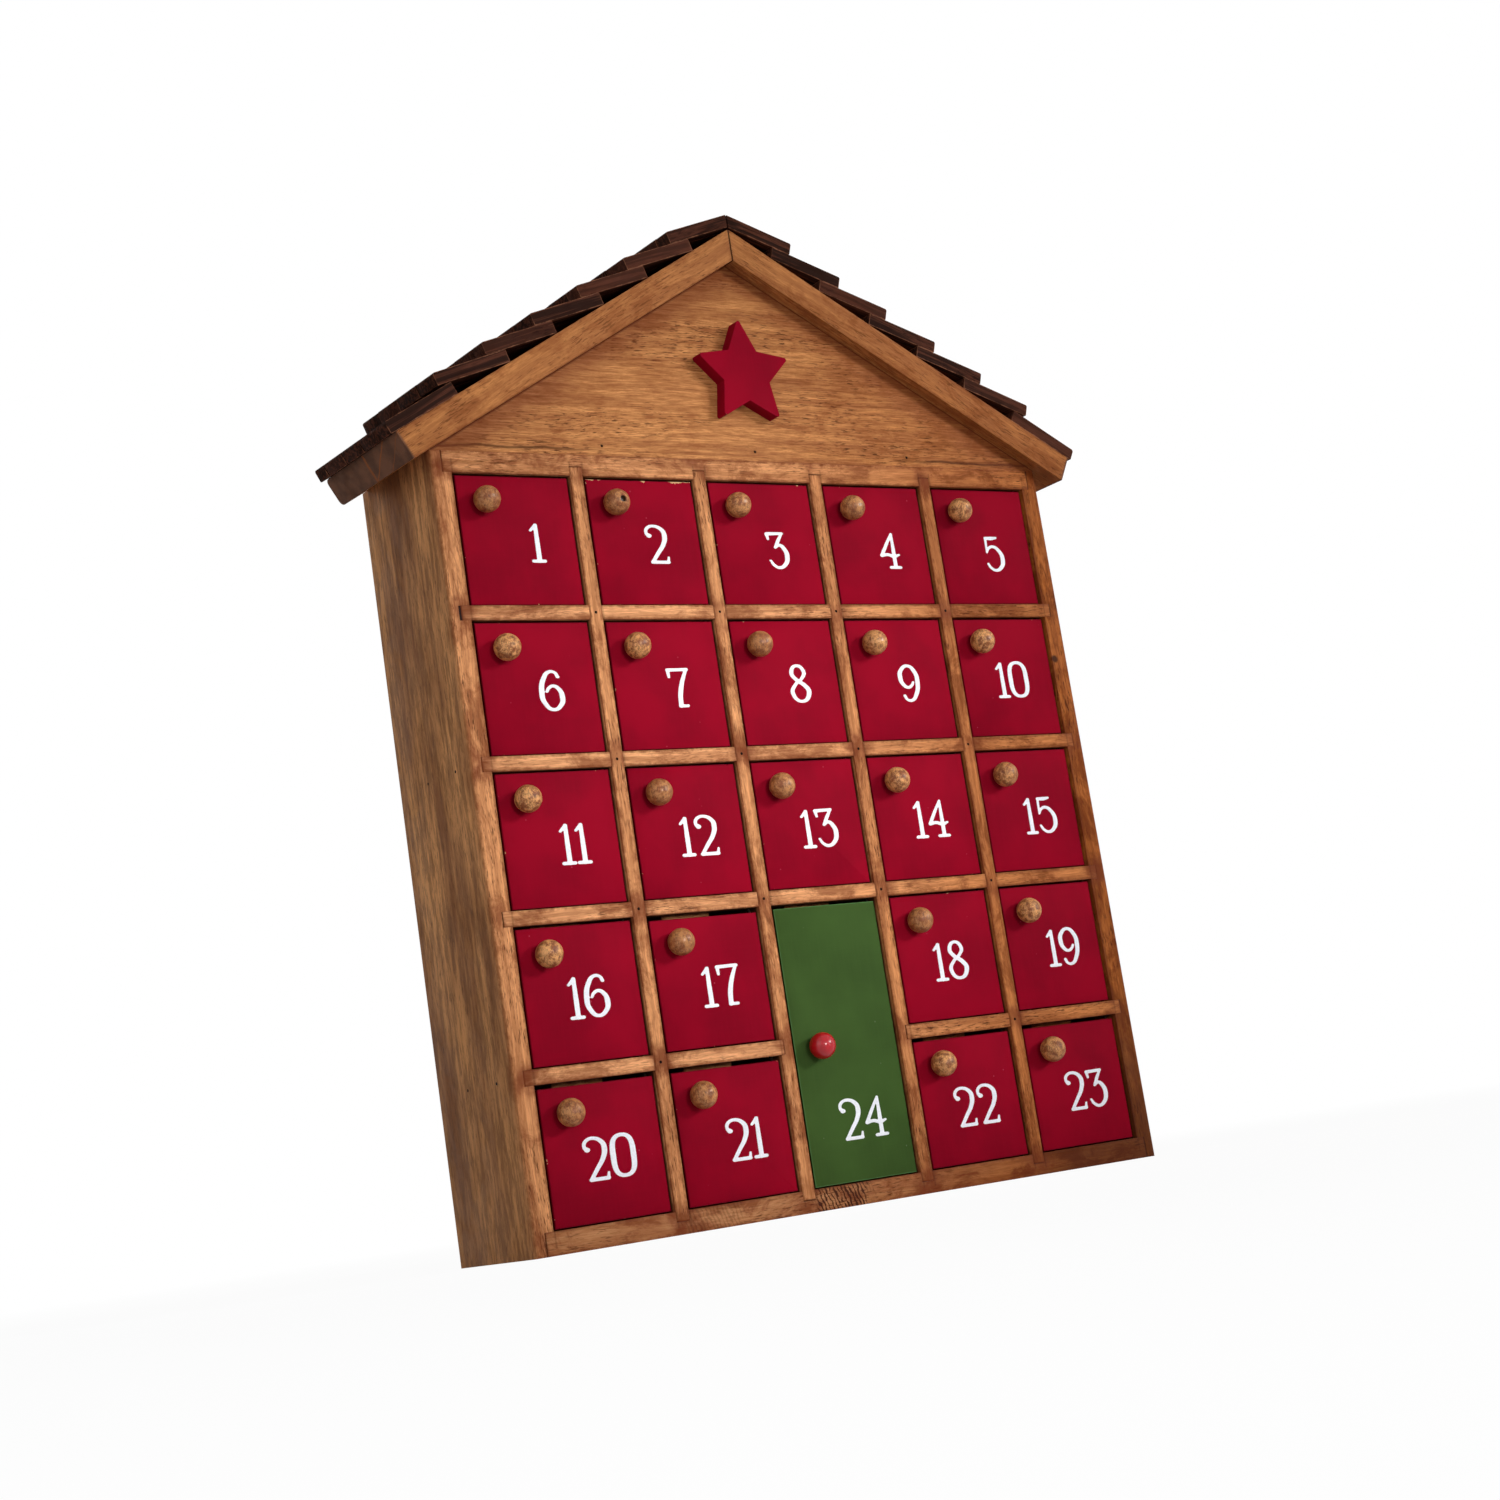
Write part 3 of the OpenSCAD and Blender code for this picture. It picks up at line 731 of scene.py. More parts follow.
class CALENDAR_OT_carcass(bpy.types.Operator):
    """Builds the sides, boards, uprights, shelves, back and stops of the cabinet"""
    bl_idname = "calendar.carcass"
    bl_label = "Cabinet Boards"

    # How far from the outer front corners an edge still belongs to them
    corner_zone = 3 * MM

    def execute(self, context):
        wood, edges = context.scene.calendar.wood, context.scene.calendar.edges
        # Inner lays painted shade in the compartments, and drift painted shade towards the lower
        # right
        pine = dict(crossings=0.85, clouds=0.65, flecks=0.8, tips=0.85, seams=0.3,
                    inner=wood.shade, drift=0.8)
        rails = pine_material("stained pine rails", wood, wood.pine_light, **pine)
        shelves = pine_material("stained pine shelves", wood, wood.shelf_light, **pine)
        base = pine_material("stained pine base board", wood,
                             [c * 0.82 for c in wood.pine_light],
                             **{**pine, "clouds": 0.75, "drift": 1.0}, extra=hatching)
        stops = pine_material("stop blocks", wood, wood.pine_light, **{**pine, "inner": 0.35})
        back = wood_material("thin back board", wood.ply, [c * 0.86 for c in wood.ply],
                             [c * 0.7 for c in wood.ply], wood.spacing / MM * 2, roughness=0.7,
                             edge=0.1, flecks=0.3, clouds=0.3)
        for node, name, grain, material, slot, seed in (
                # The last number of each row is its seed
                ("top_board", "top_rail", ALONG_X, rails, "pine", 3),
                ("bottom_board", "base_rail", ALONG_X, base, "pine", 5),
                ("uprights", "upright_dividers", ALONG_Z, rails, "pine", 7),
                ("shelves", "shelf_dividers", ALONG_X, shelves, "pine", 11),
                ("door_stops", "door_stop_blocks", ALONG_X, stops, "pine", 13),
                ("back_panel", "back_board", ALONG_Z, back, "plywood", 17)):
            piece = merged_copy(node, name)
            ease_edges(piece, edges.board)
            mark_boards(piece, grain, seed)
            finish_piece(piece, CABINET, material, [node])
        self.sides(wood, edges)
        return {"FINISHED"}

    def sides(self, wood, edges):
        low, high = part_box("side_panels")
        piece = merged_copy("side_panels", "side_boards")

        def at_corner(edge, reach):
            return all(abs(v.co.x) > high.x - reach and v.co.y < low.y + reach
                       for v in edge.verts)

        ease_edges(piece, edges.corner, 3, lambda edge: at_corner(edge, ON_PLANE))
        ease_edges(piece, edges.board, wanted=lambda edge: not at_corner(edge, self.corner_zone))
        mark_boards(piece, ALONG_Z, seed=19)
        material = pine_material("stained pine sides", wood, wood.pine_light, crossings=0.85,
                                 clouds=0.65, flecks=0.8, drift=1.0, extra=side_marks)
        finish_piece(piece, CABINET, material, ["side_panels"])


class CALENDAR_OT_gable(bpy.types.Operator):
    """Builds the gable board and the two roof boards"""
    bl_idname = "calendar.gable"
    bl_label = "Gable and Roof Boards"

    # Only the roof boards' rear edges down the slope are longer than this
    long_edge = 50 * MM

    def execute(self, context):
        wood, edges = context.scene.calendar.wood, context.scene.calendar.edges
        gable = merged_copy("gable_panel", "gable_board")
        ease_edges(gable, edges.board)
        mark_boards(gable, ALONG_X, seed=23)
        material = pine_material("stained pine gable", wood, wood.gable_light, clouds=0.3,
                                 fibre=0.55, flecks=0.85, edge=0.25, relief=0.15, drift=0.6,
                                 extra=gable_marks)
        finish_piece(gable, CABINET, material, ["gable_panel"])

        boards = merged_copy("roof_boards", "roof_slope_boards")
        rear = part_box("roof_boards")[1].y - ON_PLANE
        ease_edges(boards, edges.rear, 4, lambda edge: all(v.co.y > rear for v in edge.verts)
                   and edge.calc_length() > self.long_edge)
        ease_edges(boards, edges.roof, 3, lambda edge: not all(
            v.co.y > rear - edges.rear for v in edge.verts))
        mark_boards(boards, DOWN_SLOPE, seed=29)
        material = pine_material("stained pine roof boards", wood, wood.roof_light, clouds=0.4,
                                 edge=0.3, drift=0.4, extra=sawn_ends)
        finish_piece(boards, CABINET, material, ["roof_boards"])
        return {"FINISHED"}


class CALENDAR_OT_shingles(bpy.types.Operator):
    """Lays the courses of dark shingles, each a little out of line"""
    bl_idname = "calendar.shingles"
    bl_label = "Shingles"

    # Most that a shingle is turned in its plane, in degrees, and the seed for where they lie
    turn = 0.5
    seed = 37

    def execute(self, context):
        roof = context.scene.calendar.roof
        piece = merged_copy("shingles", "roof_shingles")
        ease_edges(piece, roof.edge)
        self.unsettle(piece, roof)
        mark_boards(piece, DOWN_SLOPE, seed=31)
        finish_piece(piece, CABINET, self.material(roof), ["shingles"])
        return {"FINISHED"}

    def unsettle(self, piece, roof):
        """Moves each shingle a little along the slope and turns it in its plane."""
        chance = random.Random(self.seed)
        shape = bmesh.new()
        shape.from_mesh(piece.data)
        limit_low, limit_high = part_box("shingles")
        for board in boards_of(shape):
            along, _, through = board_axes(board, DOWN_SLOPE)
            middle = sum((v.co for v in board), Vector()) / len(board)
            angle = math.radians(chance.uniform(-self.turn, self.turn))
            turn = Matrix.Rotation(angle, 3, through)
            slide = along * roof.slip * chance.uniform(-1, 1)
            for vertex in board:
                place = middle + turn @ (vertex.co - middle) + slide
                vertex.co = Vector([min(max(place[k], limit_low[k]), limit_high[k])
                                    for k in range(3)])
        shape.to_mesh(piece.data)
        shape.free()

    def material(self, roof):
        material, web = new_material("dark stained shingles")
        local, half, tone, figure = board_figure(web, 1.7)
        coat = Coat(web, roof.shingle_dark)
        coat.lay(figure["Lines"].span(0.2, 1.0, 0.0, 0.75), roof.shingle_brown)
        coat.lay(figure["Fibre"].span(0.4, 0.7, 0.0, 0.4), roof.shingle_dark)
        coat.lay(tone.span(0.3, 1.0, 0.0, 0.35), roof.shingle_brown)
        coat.lay(figure["Flecks"] * 0.6, roof.shingle_dark, 0.6)
        edges = web.effect("Arris", Local=local, Half=half, Width=0.4, Ragged=0.5)
        # Lighter arrises: rubbed wear, and a painted highlight where the edges catch the light
        coat.lay(edges["Mask"] * figure["Clouds"].span(0.0, 1.0, 0.9, 0.2), roof.shingle_worn)
        rough = figure["Clouds"].span(0.0, 1.0, 0.68, 0.85)
        close_material(coat, rough, 0.03, figure["Height"], 0.12)
        return material


class CALENDAR_OT_doors(bpy.types.Operator):
    """Builds the painted doors and the star"""
    bl_idname = "calendar.doors"
    bl_label = "Doors and Star"

    # Doors cut shorter than their compartments, by millimetres at the top
    trims = {16: 0.3, 17: 1.2, 20: 0.9, 21: 1.0, 22: 0.7, 23: 0.8, 24: 0.7}
    # How much narrower each door is at its free edge
    narrower = 0.5 * MM
    # Points this near to an edge of a door move with it
    edge_zone = 0.5 * MM

    def execute(self, context):
        paint, edges = context.scene.calendar.paint, context.scene.calendar.edges
        # A half-bright red along the red doors' and the star's edges: painted shade
        rim = [c * 0.5 for c in paint.red]
        # Gap lays painted shade on the doors' edge faces
        red = paint_material("brushed red paint", paint, paint.red, rim, chips=0.9, gap=0.85,
                             knocked="door_02")
        # The tall door's lighter green edges are a painted highlight
        green = paint_material("brushed green paint", paint, paint.green, paint.green_rim,
                               chips=0.3, gap=0.85)
        for number in range(1, TALL_DOOR + 1):
            node = f"door_{number:02d}"
            door = merged_copy(node, f"door_leaf_{number:02d}")
            self.trim(door, self.trims.get(number, 0) * MM)
            ease_edges(door, edges.door)
            mark_boards(door, ALONG_Z, seed=100 + number)
            tall = number == TALL_DOOR
            finish_piece(door, door_body(number), green if tall else red,
                         [node])
        star = merged_copy("star", "gable_star")
        ease_edges(star, edges.star, 3)
        mark_boards(star, ALONG_X, seed=41)
        star_red = paint_material("brushed red star paint", paint, paint.red, rim, chips=0.9)
        finish_piece(star, CABINET, star_red, ["star"])
        return {"FINISHED"}

    def trim(self, door, amount):
        """Lowers the top edge of a door and takes its free edge in."""
        top = max(vertex.co.z for vertex in door.data.vertices)
        free = min(vertex.co.x for vertex in door.data.vertices)
        for vertex in door.data.vertices:
            if vertex.co.z > top - self.edge_zone:
                vertex.co.z -= amount
            if vertex.co.x < free + self.edge_zone:
                vertex.co.x += self.narrower


# Digits drawn with one closed stroke
CLOSED_DIGITS = "08"


def digit_strokes():
    """Strokes of the digits 0 to 9 in a box 11.8 wide and 17.2 high, as points (x, z, weight).
    The digit 1 stands in a box 6.4 wide."""
    low, high = 0.8, 16.4
    hook = [(9.5, 14.2, 0.75), (8.3, 16.0, 0.7), (6.0, high, 0.85), (2.9, 13.6, 1.0),
            (1.3, 8.2, 1.1), (2.1, 3.6, 1.0), (5.8, low, 0.9), (9.6, 2.8, 1.0),
            (10.5, 6.0, 1.1), (9.3, 9.2, 0.95), (6.9, 10.5, 0.85), (4.7, 9.6, 0.75),
            (3.7, 8.2, 0.6)]
    turned = [(11.8 - x, high + low - z, weight) for x, z, weight in hook]
    bowl = [(10.6, 5.8, 1.1), (9.0, 2.2, 1.0), (5.8, low, 0.9), (3.1, 1.9, 0.75),
            (1.6, 3.9, 0.6)]
    return {
        "0": [[(5.9, high, 0.95), (1.3, 8.6, 1.15), (5.9, low, 0.95), (10.5, 8.6, 1.15)]],
        "1": [[(3.5, 16.0, 0.8), (3.5, 8.0, 0.95), (3.5, low, 1.0)],
              [(3.4, 15.8, 0.8), (1.0, 13.7, 0.65)],
              [(0.9, low, 0.9), (5.8, low, 0.9)]],
        "2": [[(2.6, 12.2, 1.15), (1.4, 13.5, 0.7), (2.6, 15.8, 0.8), (5.8, high, 0.85),
               (9.4, 14.7, 1.0), (10.3, 11.9, 1.1), (9.1, 8.4, 1.0), (6.2, 4.9, 0.9),
               (3.0, 1.1, 0.8)],
              [(2.9, low, 0.95), (10.4, low, 0.95)],
              [(10.5, 1.0, 0.7), (10.9, 2.9, 0.5)]],
        "3": [[(1.5, 15.9, 1.0), (9.2, 16.1, 0.85)],
              [(1.4, 15.6, 0.8), (1.8, 13.5, 0.6)],
              [(9.3, 16.0, 0.6), (7.2, 13.2, 0.85), (5.2, 10.0, 0.8)],
              [(5.0, 9.8, 0.7), (7.2, 10.9, 0.9), (9.7, 9.0, 1.05)] + bowl],
        "4": [[(8.3, 16.2, 0.55), (4.9, 11.4, 0.8), (1.5, 6.4, 0.85)],
              [(8.3, 16.2, 0.6), (8.3, 8.0, 0.9), (8.3, low, 0.95)],
              [(1.5, 6.2, 0.85), (4.8, 6.7, 0.9), (8.3, 5.9, 0.95), (10.9, 6.6, 0.65)],
              [(5.8, low, 0.9), (10.8, low, 0.9)]],
        "5": [[(2.3, 16.0, 0.9), (5.4, 15.9, 1.15), (8.3, 16.2, 0.7)],
              [(2.2, 15.8, 0.65), (1.9, 9.3, 0.5)],
              [(1.9, 9.2, 0.5), (3.4, 11.3, 0.75), (5.9, 12.0, 0.9), (9.2, 9.9, 1.0)] + bowl],
        "6": [hook],
        "7": [[(1.4, 16.1, 0.95), (10.5, 16.2, 0.9)],
              [(1.4, 15.8, 0.8), (1.6, 13.1, 0.6)],
              [(10.3, 16.0, 0.7), (7.8, 11.0, 0.95), (6.2, 6.0, 1.05), (5.7, low, 1.0)],
              [(5.7, low, 0.85), (8.9, low, 0.85)]],
        "8": [[(5.6, high, 0.85), (2.5, 13.4, 0.95), (4.4, 10.4, 1.0), (8.3, 7.9, 1.1),
               (10.3, 4.7, 1.1), (6.1, low, 0.9), (1.7, 4.5, 0.95), (3.9, 8.3, 0.8),
               (7.6, 10.9, 0.8), (9.0, 13.6, 0.9)]],
        "9": [turned],
    }


class CALENDAR_OT_numbers(bpy.types.Operator):
    """Paints the white numbers on the doors as thin raised strokes"""
    bl_idname = "calendar.numbers"
    bl_label = "Numbers"

    # Numbers that stand off the usual place, in millimetres to the right and down
    nudges = {1: (0, -1.5), 2: (-0.5, -1.5), 3: (0, 0.5), 5: (-0.5, 1), 6: (0, -1), 7: (0, -1),
              8: (0.5, -1.5), 9: (-1, -0.5), 10: (-1.5, -1), 11: (-1, 0), 14: (-0.5, -1),
              15: (1, 0.5), 16: (-1.5, -0.5), 17: (0, 0.5), 18: (-2.5, 0), 19: (1, -1),
              20: (0.5, 0.5), 21: (0.5, 1), 22: (1, 1), 23: (2.5, 1), 24: (1.5, 0)}
    # How finely a stroke is drawn: along it, round the pen, and at its round ends
    stroke_steps, pen_steps, end_steps = 10, 3, 3
    # The modifiers that fuse, smooth and thin out the strokes of a digit
    fusing = (("REMESH", {"mode": "VOXEL", "voxel_size": 0.16}),
              ("SMOOTH", {"iterations": 2}),
              ("DECIMATE", {"ratio": 0.3}))

    def execute(self, context):
        numbers, paint = context.scene.calendar.numbers, context.scene.calendar.paint
        white = self.material(paint)
        digits = {name: self.digit(name, strokes, numbers)
                  for name, strokes in digit_strokes().items()}
        for number in range(1, TALL_DOOR + 1):
            self.place(number, digits, numbers, white)
        for digit in digits.values():
            bpy.data.objects.remove(digit)
        return {"FINISHED"}

    def material(self, paint):
        material, web = new_material("white number paint")
        place = web.place()
        coat = Coat(web, paint.white)
        coat.lay(place.noise(1.2, detail=3.0).span(0.35, 0.7), paint.white, 0.95)
        close_material(coat, 0.5, 0.2, place.noise(2.5), 0.02)
        return material

    def digit(self, name, strokes, numbers):
        """One digit at the origin in millimetres: a round pen in a narrowed box, fused,
        then stretched sideways so that upright strokes come out thicker."""
        stretch = numbers.thick / numbers.thin
        pen = numbers.thin / MM / 2
        closed = name in CLOSED_DIGITS
        parts = []
        for points in strokes:
            bpy.ops.curve.primitive_bezier_curve_add()
            curve = bpy.context.object
            curve.data.dimensions = "3D"
            curve.data.splines.clear()
            curve.data.bevel_depth = pen
            curve.data.bevel_resolution = self.pen_steps
            spline = curve.data.splines.new("BEZIER")
            spline.resolution_u = self.stroke_steps
            spline.use_cyclic_u = closed
            spline.bezier_points.add(len(points) - 1)
            for knot, (x, z, weight) in zip(spline.bezier_points, points):
                knot.co = (x / stretch, 0, z)
                knot.radius = weight
                knot.handle_left_type = knot.handle_right_type = "AUTO"
            only(curve)
            bpy.ops.object.convert(target="MESH")
            parts.append(bpy.context.object)
            for x, z, weight in () if closed else (points[0], points[-1]):
                bpy.ops.mesh.primitive_ico_sphere_add(
                    subdivisions=self.end_steps, radius=pen * weight,
                    location=(x / stretch, 0, z))
                parts.append(bpy.context.object)
        only(*parts)
        if len(parts) > 1:
            bpy.ops.object.join()
        digit = bpy.context.object
        digit.name = f"digit_{name}"
        bpy.ops.object.transform_apply(location=True, rotation=True, scale=True)
        for kind, settings in self.fusing:
            modifier = digit.modifiers.new(kind.lower(), kind)
            for key, setting in settings.items():
                setattr(modifier, key, setting)
            bpy.ops.object.modifier_apply(modifier=modifier.name)
        flat = numbers.relief / numbers.thin * 2
        digit.scale = (stretch * MM, flat * MM, MM)
        bpy.ops.object.transform_apply(location=True, rotation=True, scale=True)
        return digit

    def place(self, number, digits, numbers, white):
        """Sets the digits of a number from its right end, joined into one piece."""
        low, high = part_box(f"door_{number:02d}")
        right_by, down_by = self.nudges.get(number, (0, 0))
        end = numbers.single_end if number < 10 else numbers.double_end
        drop = numbers.tall_drop if number == TALL_DOOR else numbers.drop
        x = low.x - FREE_GAP + end + right_by * MM
        top = high.z + TOP_GAP - drop - down_by * MM
        copies = []
        for name in reversed(str(number)):
            x -= numbers.one_width if name == "1" else numbers.width
            copy = new_piece(f"number_{number:02d}", digits[name].data)
            copy.data.transform(Matrix.Translation((x, low.y, top - numbers.height)))
            copies.append(copy)
            x -= numbers.gap
        only(*copies)
        if len(copies) > 1:
            bpy.ops.object.join()
        piece = bpy.context.object
        piece.name = piece.data.name = f"number_{number:02d}"
        finish_piece(piece, door_body(number), white)


class CALENDAR_OT_knobs(bpy.types.Operator):
    """Turns the ball knobs, with the small hole at the front and the peg behind"""
    bl_idname = "calendar.knobs"
    bl_label = "Knobs"

    # Knobs whose hole at the front isn't filled
    open_holes = {2}
    # How far behind the front the wall starts in a filled and in an open hole
    filled_rim, open_rim = 0.06 * MM, 0.15 * MM
    peg_radius = 1.5 * MM
    # Width of the sloping edge of the hole's floor, and its fall as a share of the depth
    hole_step, hole_fall = 0.25 * MM, 1 / 6
    segments, rings = 48, 24

    def execute(self, context):
        knobs, paint = context.scene.calendar.knobs, context.scene.calendar.paint
        wood, gloss = self.bead_material(knobs), self.gloss_material(paint)
        filled = self.turn(knobs.mark, self.filled_rim, 0.25)
        drilled = self.turn(knobs.hole, self.open_rim, 1.0)
        start = self.centre(1)
        for number in range(1, TALL_DOOR + 1):
            source = drilled if number in self.open_holes else filled
            copy = new_piece(f"ball_knob_{number:02d}", source.data)
            copy.data.transform(Matrix.Translation(self.centre(number) - start))
            tall = number == TALL_DOOR
            finish_piece(copy, door_body(number), gloss if tall else wood,
                         [f"knob_{number:02d}"])
        for source in (filled, drilled):
            bpy.data.objects.remove(source)
        return {"FINISHED"}

    def centre(self, number):
        low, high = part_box(f"knob_{number:02d}")
        radius = (high.x - low.x) / 2
        return Vector(((low.x + high.x) / 2, low.y + radius, (low.z + high.z) / 2))

    def turn(self, hole, rim, shadow):
        """A knob with a hole of one depth at its front. The rim is how far its wall starts
        behind the front, and shadow is how dark it is inside."""
        low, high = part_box("knob_01")
        radius = (high.x - low.x) / 2
        centre = self.centre(1)
        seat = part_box("door_01")[0].y
        bpy.ops.object.select_all(action="DESELECT")
        bpy.ops.mesh.primitive_uv_sphere_add(
            segments=self.segments, ring_count=self.rings, radius=radius, location=centre,
            rotation=(math.pi / 2, 0, 0))
        knob = bpy.context.object
        knob.name = knob.data.name = "ball_knob"
        bpy.ops.object.transform_apply(location=True, rotation=True, scale=True)
        bpy.ops.object.mode_set(mode="EDIT")
        bpy.ops.mesh.select_all(action="SELECT")
        bpy.ops.mesh.bisect(plane_co=(0, seat, 0), plane_no=(0, 1, 0), use_fill=True,
                            clear_outer=True)
        seat_radius = math.sqrt(max(radius ** 2 - (seat - centre.y) ** 2, 0))
        self.pick(knob, lambda face: face.normal.y > 0.99
                  and face.calc_center_median().y > seat - ON_PLANE / 2)
        bpy.ops.mesh.inset(thickness=seat_radius - self.peg_radius)
        bpy.ops.mesh.extrude_region_move(TRANSFORM_OT_translate={"value": (0, high.y - seat, 0)})
        front = centre.y - radius
        self.pick(knob, lambda face: face.calc_center_median().y < front + rim)
        bpy.ops.mesh.dissolve_faces()
        bpy.ops.mesh.extrude_region_move(TRANSFORM_OT_translate={"value": (0, hole, 0)})
        self.darken(knob, shadow)
        bpy.ops.mesh.inset(thickness=self.hole_step)
        fall = hole * self.hole_fall
        bpy.ops.mesh.extrude_region_move(TRANSFORM_OT_translate={"value": (0, fall, 0)})
        bpy.ops.object.mode_set(mode="OBJECT")
        return knob

    def pick(self, piece, wanted):
        """Selects the faces of a piece, in edit mode, that a test allows."""
        bpy.ops.mesh.select_mode(type="FACE")
        bpy.ops.mesh.select_all(action="DESELECT")
        shape = bmesh.from_edit_mesh(piece.data)
        for face in shape.faces:
            face.select = wanted(face)
        bmesh.update_edit_mesh(piece.data)

    def darken(self, piece, shadow):
        """Marks the selected points, in edit mode, as the inside of the hole, with the strength
        of its painted shade.
        """
        shape = bmesh.from_edit_mesh(piece.data)
        layer = shape.verts.layers.float.new("hole")
        for vertex in shape.verts:
            vertex[layer] = shadow if vertex.select else 0.0
        bmesh.update_edit_mesh(piece.data)

    def bead_material(self, knobs):
        material, web = new_material("mottled bead wood")
        place = web.place()
        drift = place.noise(0.021, detail=1.0)
        clouds = place.noise(0.36, detail=6.0, roughness=0.72, distortion=0.3)
        coat = Coat(web, knobs.bead_light)
        coat.lay(clouds.span(0.42, 0.60), knobs.bead_dark)
        coat.lay(drift.span(0.40, 0.62, 0.0, 0.55), knobs.bead_dark)
        warp = web.value("ShaderNodeTexNoise", "Color", {"Vector": place, "Scale": 0.45,
                                                         "Detail": 3.0})
        cells = web.value("ShaderNodeTexVoronoi", "Distance", {
            "Vector": place + warp * (4.0, 4.0, 4.0), "Scale": 0.55},
            feature="DISTANCE_TO_EDGE")
        breaks = place.noise(0.5, detail=3.0)
        lines = cells.span(0.0, 0.06, 1.0, 0.0) * breaks.span(0.42, 0.56)
        pores = place.noise((1.5, 1.5, 0.5), detail=4.0, roughness=0.75).span(0.52, 0.62)
        dark = (lines * 0.5).most(pores * 0.75)
        coat.lay(dark, knobs.bead_line)
        # Painted shade inside the hole at the knob's front
        coat.lay(web.attribute("hole", "Fac") * 0.9, knobs.bead_line, 0.3)
        close_material(coat, clouds.span(0.3, 0.7, 0.28, 0.4), 0.3, clouds * 0.5 - dark, 0.06)
        return material

    def gloss_material(self, paint):
        material, web = new_material("gloss red paint")
        place = web.place()
        brush = web.effect("Brushed Paint", Vector=place)
        coat = Coat(web, paint.gloss_red)
        coat.lay(brush["Shade"], paint.gloss_red, 0.85)
        rough = brush["Strokes"].span(0.3, 0.7, 0.2, 0.26)
        close_material(coat, rough, 0.5, place.noise(0.5), 0.05)
        return material


class CALENDAR_OT_brads(bpy.types.Operator):
    """Gives the brads and hinge pins a dark steel: painted shade of the brads' punched holes"""
    bl_idname = "calendar.brads"
    bl_label = "Brads and Pins"

    def execute(self, context):
        material, web = new_material("dulled steel")
        dull = web.place().noise(0.9, detail=3.0)
        # The steel's darkness is painted shade of the brads' punched holes
        coat = Coat(web, STEEL_LIGHT)
        coat.lay(dull.span(0.35, 0.65), STEEL_DARK)
        close_material(coat, dull.span(0.3, 0.7, 0.5, 0.7), 0.03, dull, 0.03, metallic=0.2)
        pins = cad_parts["steel_pins"]
        pins.data.materials.clear()
        pins.data.materials.append(material)
        return {"FINISHED"}


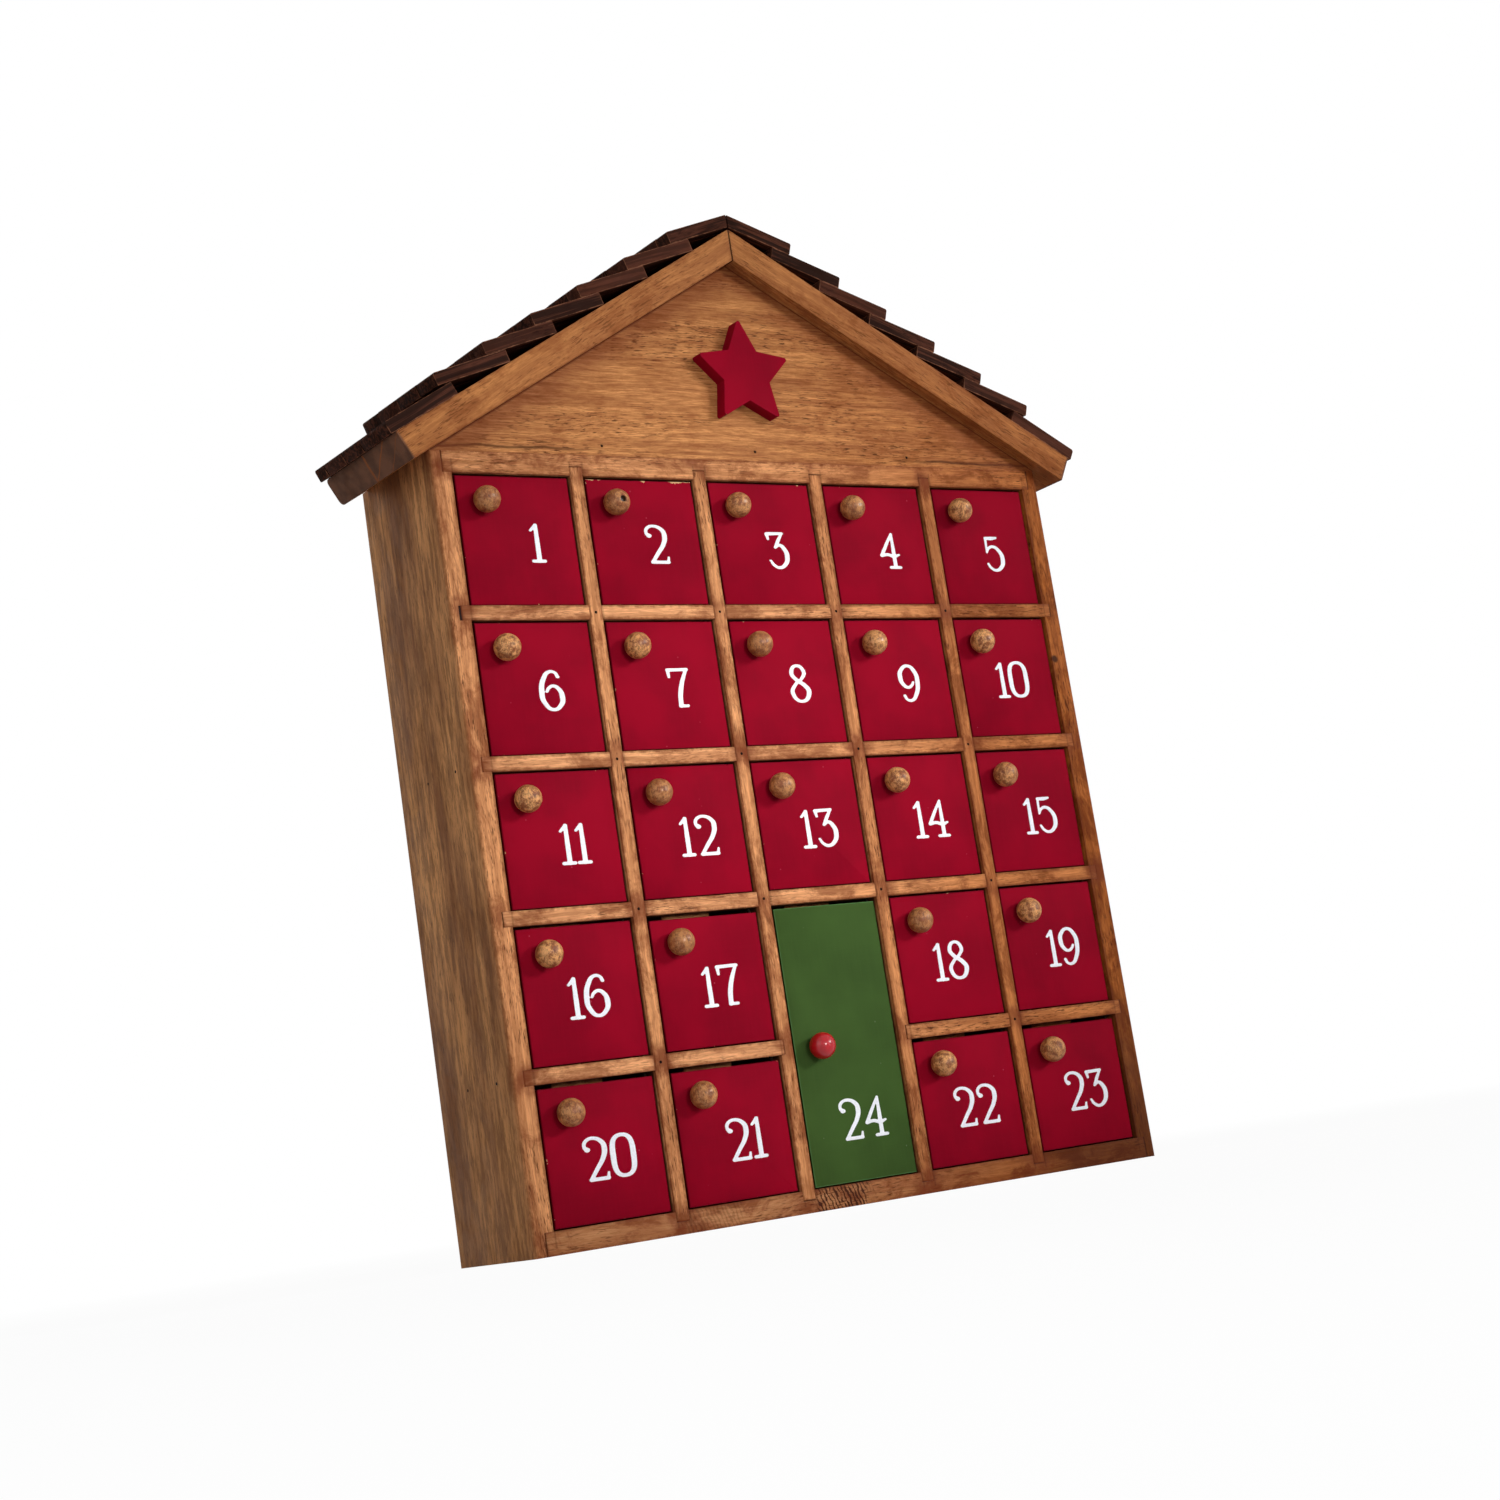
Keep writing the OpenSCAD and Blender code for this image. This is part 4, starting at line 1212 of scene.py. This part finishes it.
class CALENDAR_OT_stage(bpy.types.Operator):
    """Sets up the floor, the soft lights, the white surround and the camera"""
    bl_idname = "calendar.stage"
    bl_label = "Stage"

    floor_size = 12
    # Place and diameter of each lamp in metres, and its spread in degrees
    lamps = {
        "key": ((1.05, -1.28, 0.68), 0.55, 24),
        "front": ((-0.15, -1.25, 0.35), 0.4, 24),
        "fill": ((-1.9, -0.9, 0.9), 1.6, 180),
        "back": ((0.7, 2.0, 1.2), 1.6, 180),
    }
    # The point that the lamps face
    aim = (-0.03, 0, 0.19)
    # Place in millimetres, turn in degrees, sensor width and shift of the photo's camera
    camera_place = (-652.5, -905.1, 18.4)
    camera_turn = (101.078, 8.638, -34.054)
    sensor_width = 36
    camera_shift = (0.0006, -0.0587)
    # Nearest and farthest distance in metres that the camera shows
    clip = (0.01, 50)

    def execute(self, context):
        stage = context.scene.calendar.stage
        context.scene.view_settings.view_transform = "Standard"
        self.floor(stage)
        self.surround(context, stage)
        for name, (place, size, spread) in self.lamps.items():
            self.lamp(name, place, size, getattr(stage, name), spread)
        self.camera(context, stage)
        return {"FINISHED"}

    def floor(self, stage):
        bpy.ops.object.select_all(action="DESELECT")
        bpy.ops.mesh.primitive_plane_add(size=self.floor_size)
        floor = bpy.context.object
        floor.name = "floor"
        material, web = new_material("pale floor")
        place = web.place()
        coat = Coat(web, stage.floor)
        coat.lay(place.noise(0.02, detail=3.0), stage.floor, 0.99)
        bright = place.length().span(150.0, 1500.0, 0.95, 1.0)
        plain = web.value("ShaderNodeBsdfDiffuse", 0, {"Color": coat.shade})
        glow = web.value("ShaderNodeEmission", 0, {"Color": WHITE, "Strength": 1.0})
        mix = web.value("ShaderNodeMixShader", 0, {0: web.seen() * bright, 1: plain, 2: glow})
        web.add("ShaderNodeOutputMaterial", {"Surface": mix})
        floor.data.materials.append(material)

    def surround(self, context, stage):
        world = bpy.data.worlds.new("studio")
        context.scene.world = world
        world.use_nodes = True
        world.node_tree.nodes.clear()
        web = Web(world.node_tree)
        strength = web.seen() * (1.0 - stage.ambient) + stage.ambient
        light = web.value("ShaderNodeBackground", 0, {"Color": WHITE, "Strength": strength})
        web.add("ShaderNodeOutputWorld", {"Surface": light})

    def lamp(self, name, place, size, watts, spread):
        bpy.ops.object.light_add(type="AREA", location=place)
        lamp = bpy.context.object
        lamp.name = lamp.data.name = name
        lamp.data.shape = "DISK"
        lamp.data.size = size
        lamp.data.energy = watts
        lamp.data.spread = math.radians(spread)
        direction = Vector(self.aim) - Vector(place)
        lamp.rotation_euler = direction.to_track_quat("-Z", "Y").to_euler()

    def camera(self, context, stage):
        bpy.ops.object.camera_add(location=Vector(self.camera_place) * MM,
                                  rotation=[math.radians(a) for a in self.camera_turn])
        camera = bpy.context.object
        camera.data.lens = stage.lens
        camera.data.sensor_width = self.sensor_width
        camera.data.shift_x, camera.data.shift_y = self.camera_shift
        camera.data.clip_start, camera.data.clip_end = self.clip
        context.scene.camera = camera


STEPS = (CALENDAR_OT_stage, CALENDAR_OT_carcass, CALENDAR_OT_gable, CALENDAR_OT_shingles,
         CALENDAR_OT_doors, CALENDAR_OT_numbers, CALENDAR_OT_knobs, CALENDAR_OT_brads)


class VIEW3D_PT_calendar(bpy.types.Panel):
    """Lists the steps that dress the calendar"""
    bl_label = "Advent Calendar"
    bl_space_type = "VIEW_3D"
    bl_region_type = "UI"
    bl_category = "Calendar"

    def draw(self, context):
        for step in STEPS:
            self.layout.operator(step.bl_idname)


CLASSES = (CalendarWood, CalendarRoof, CalendarPaint, CalendarKnobs, CalendarNumbers,
           CalendarEdges, CalendarStage, CalendarSettings, *STEPS, VIEW3D_PT_calendar)


def register():
    for kind in CLASSES:
        bpy.utils.register_class(kind)
    bpy.types.Scene.calendar = bpy.props.PointerProperty(type=CalendarSettings)


def unregister():
    del bpy.types.Scene.calendar
    for kind in reversed(CLASSES):
        bpy.utils.unregister_class(kind)


def main():
    register()
    bpy.ops.object.select_all(action="DESELECT")
    for step in STEPS:
        group, name = step.bl_idname.split(".")
        getattr(getattr(bpy.ops, group), name)()


if __name__ == "__main__":
    main()
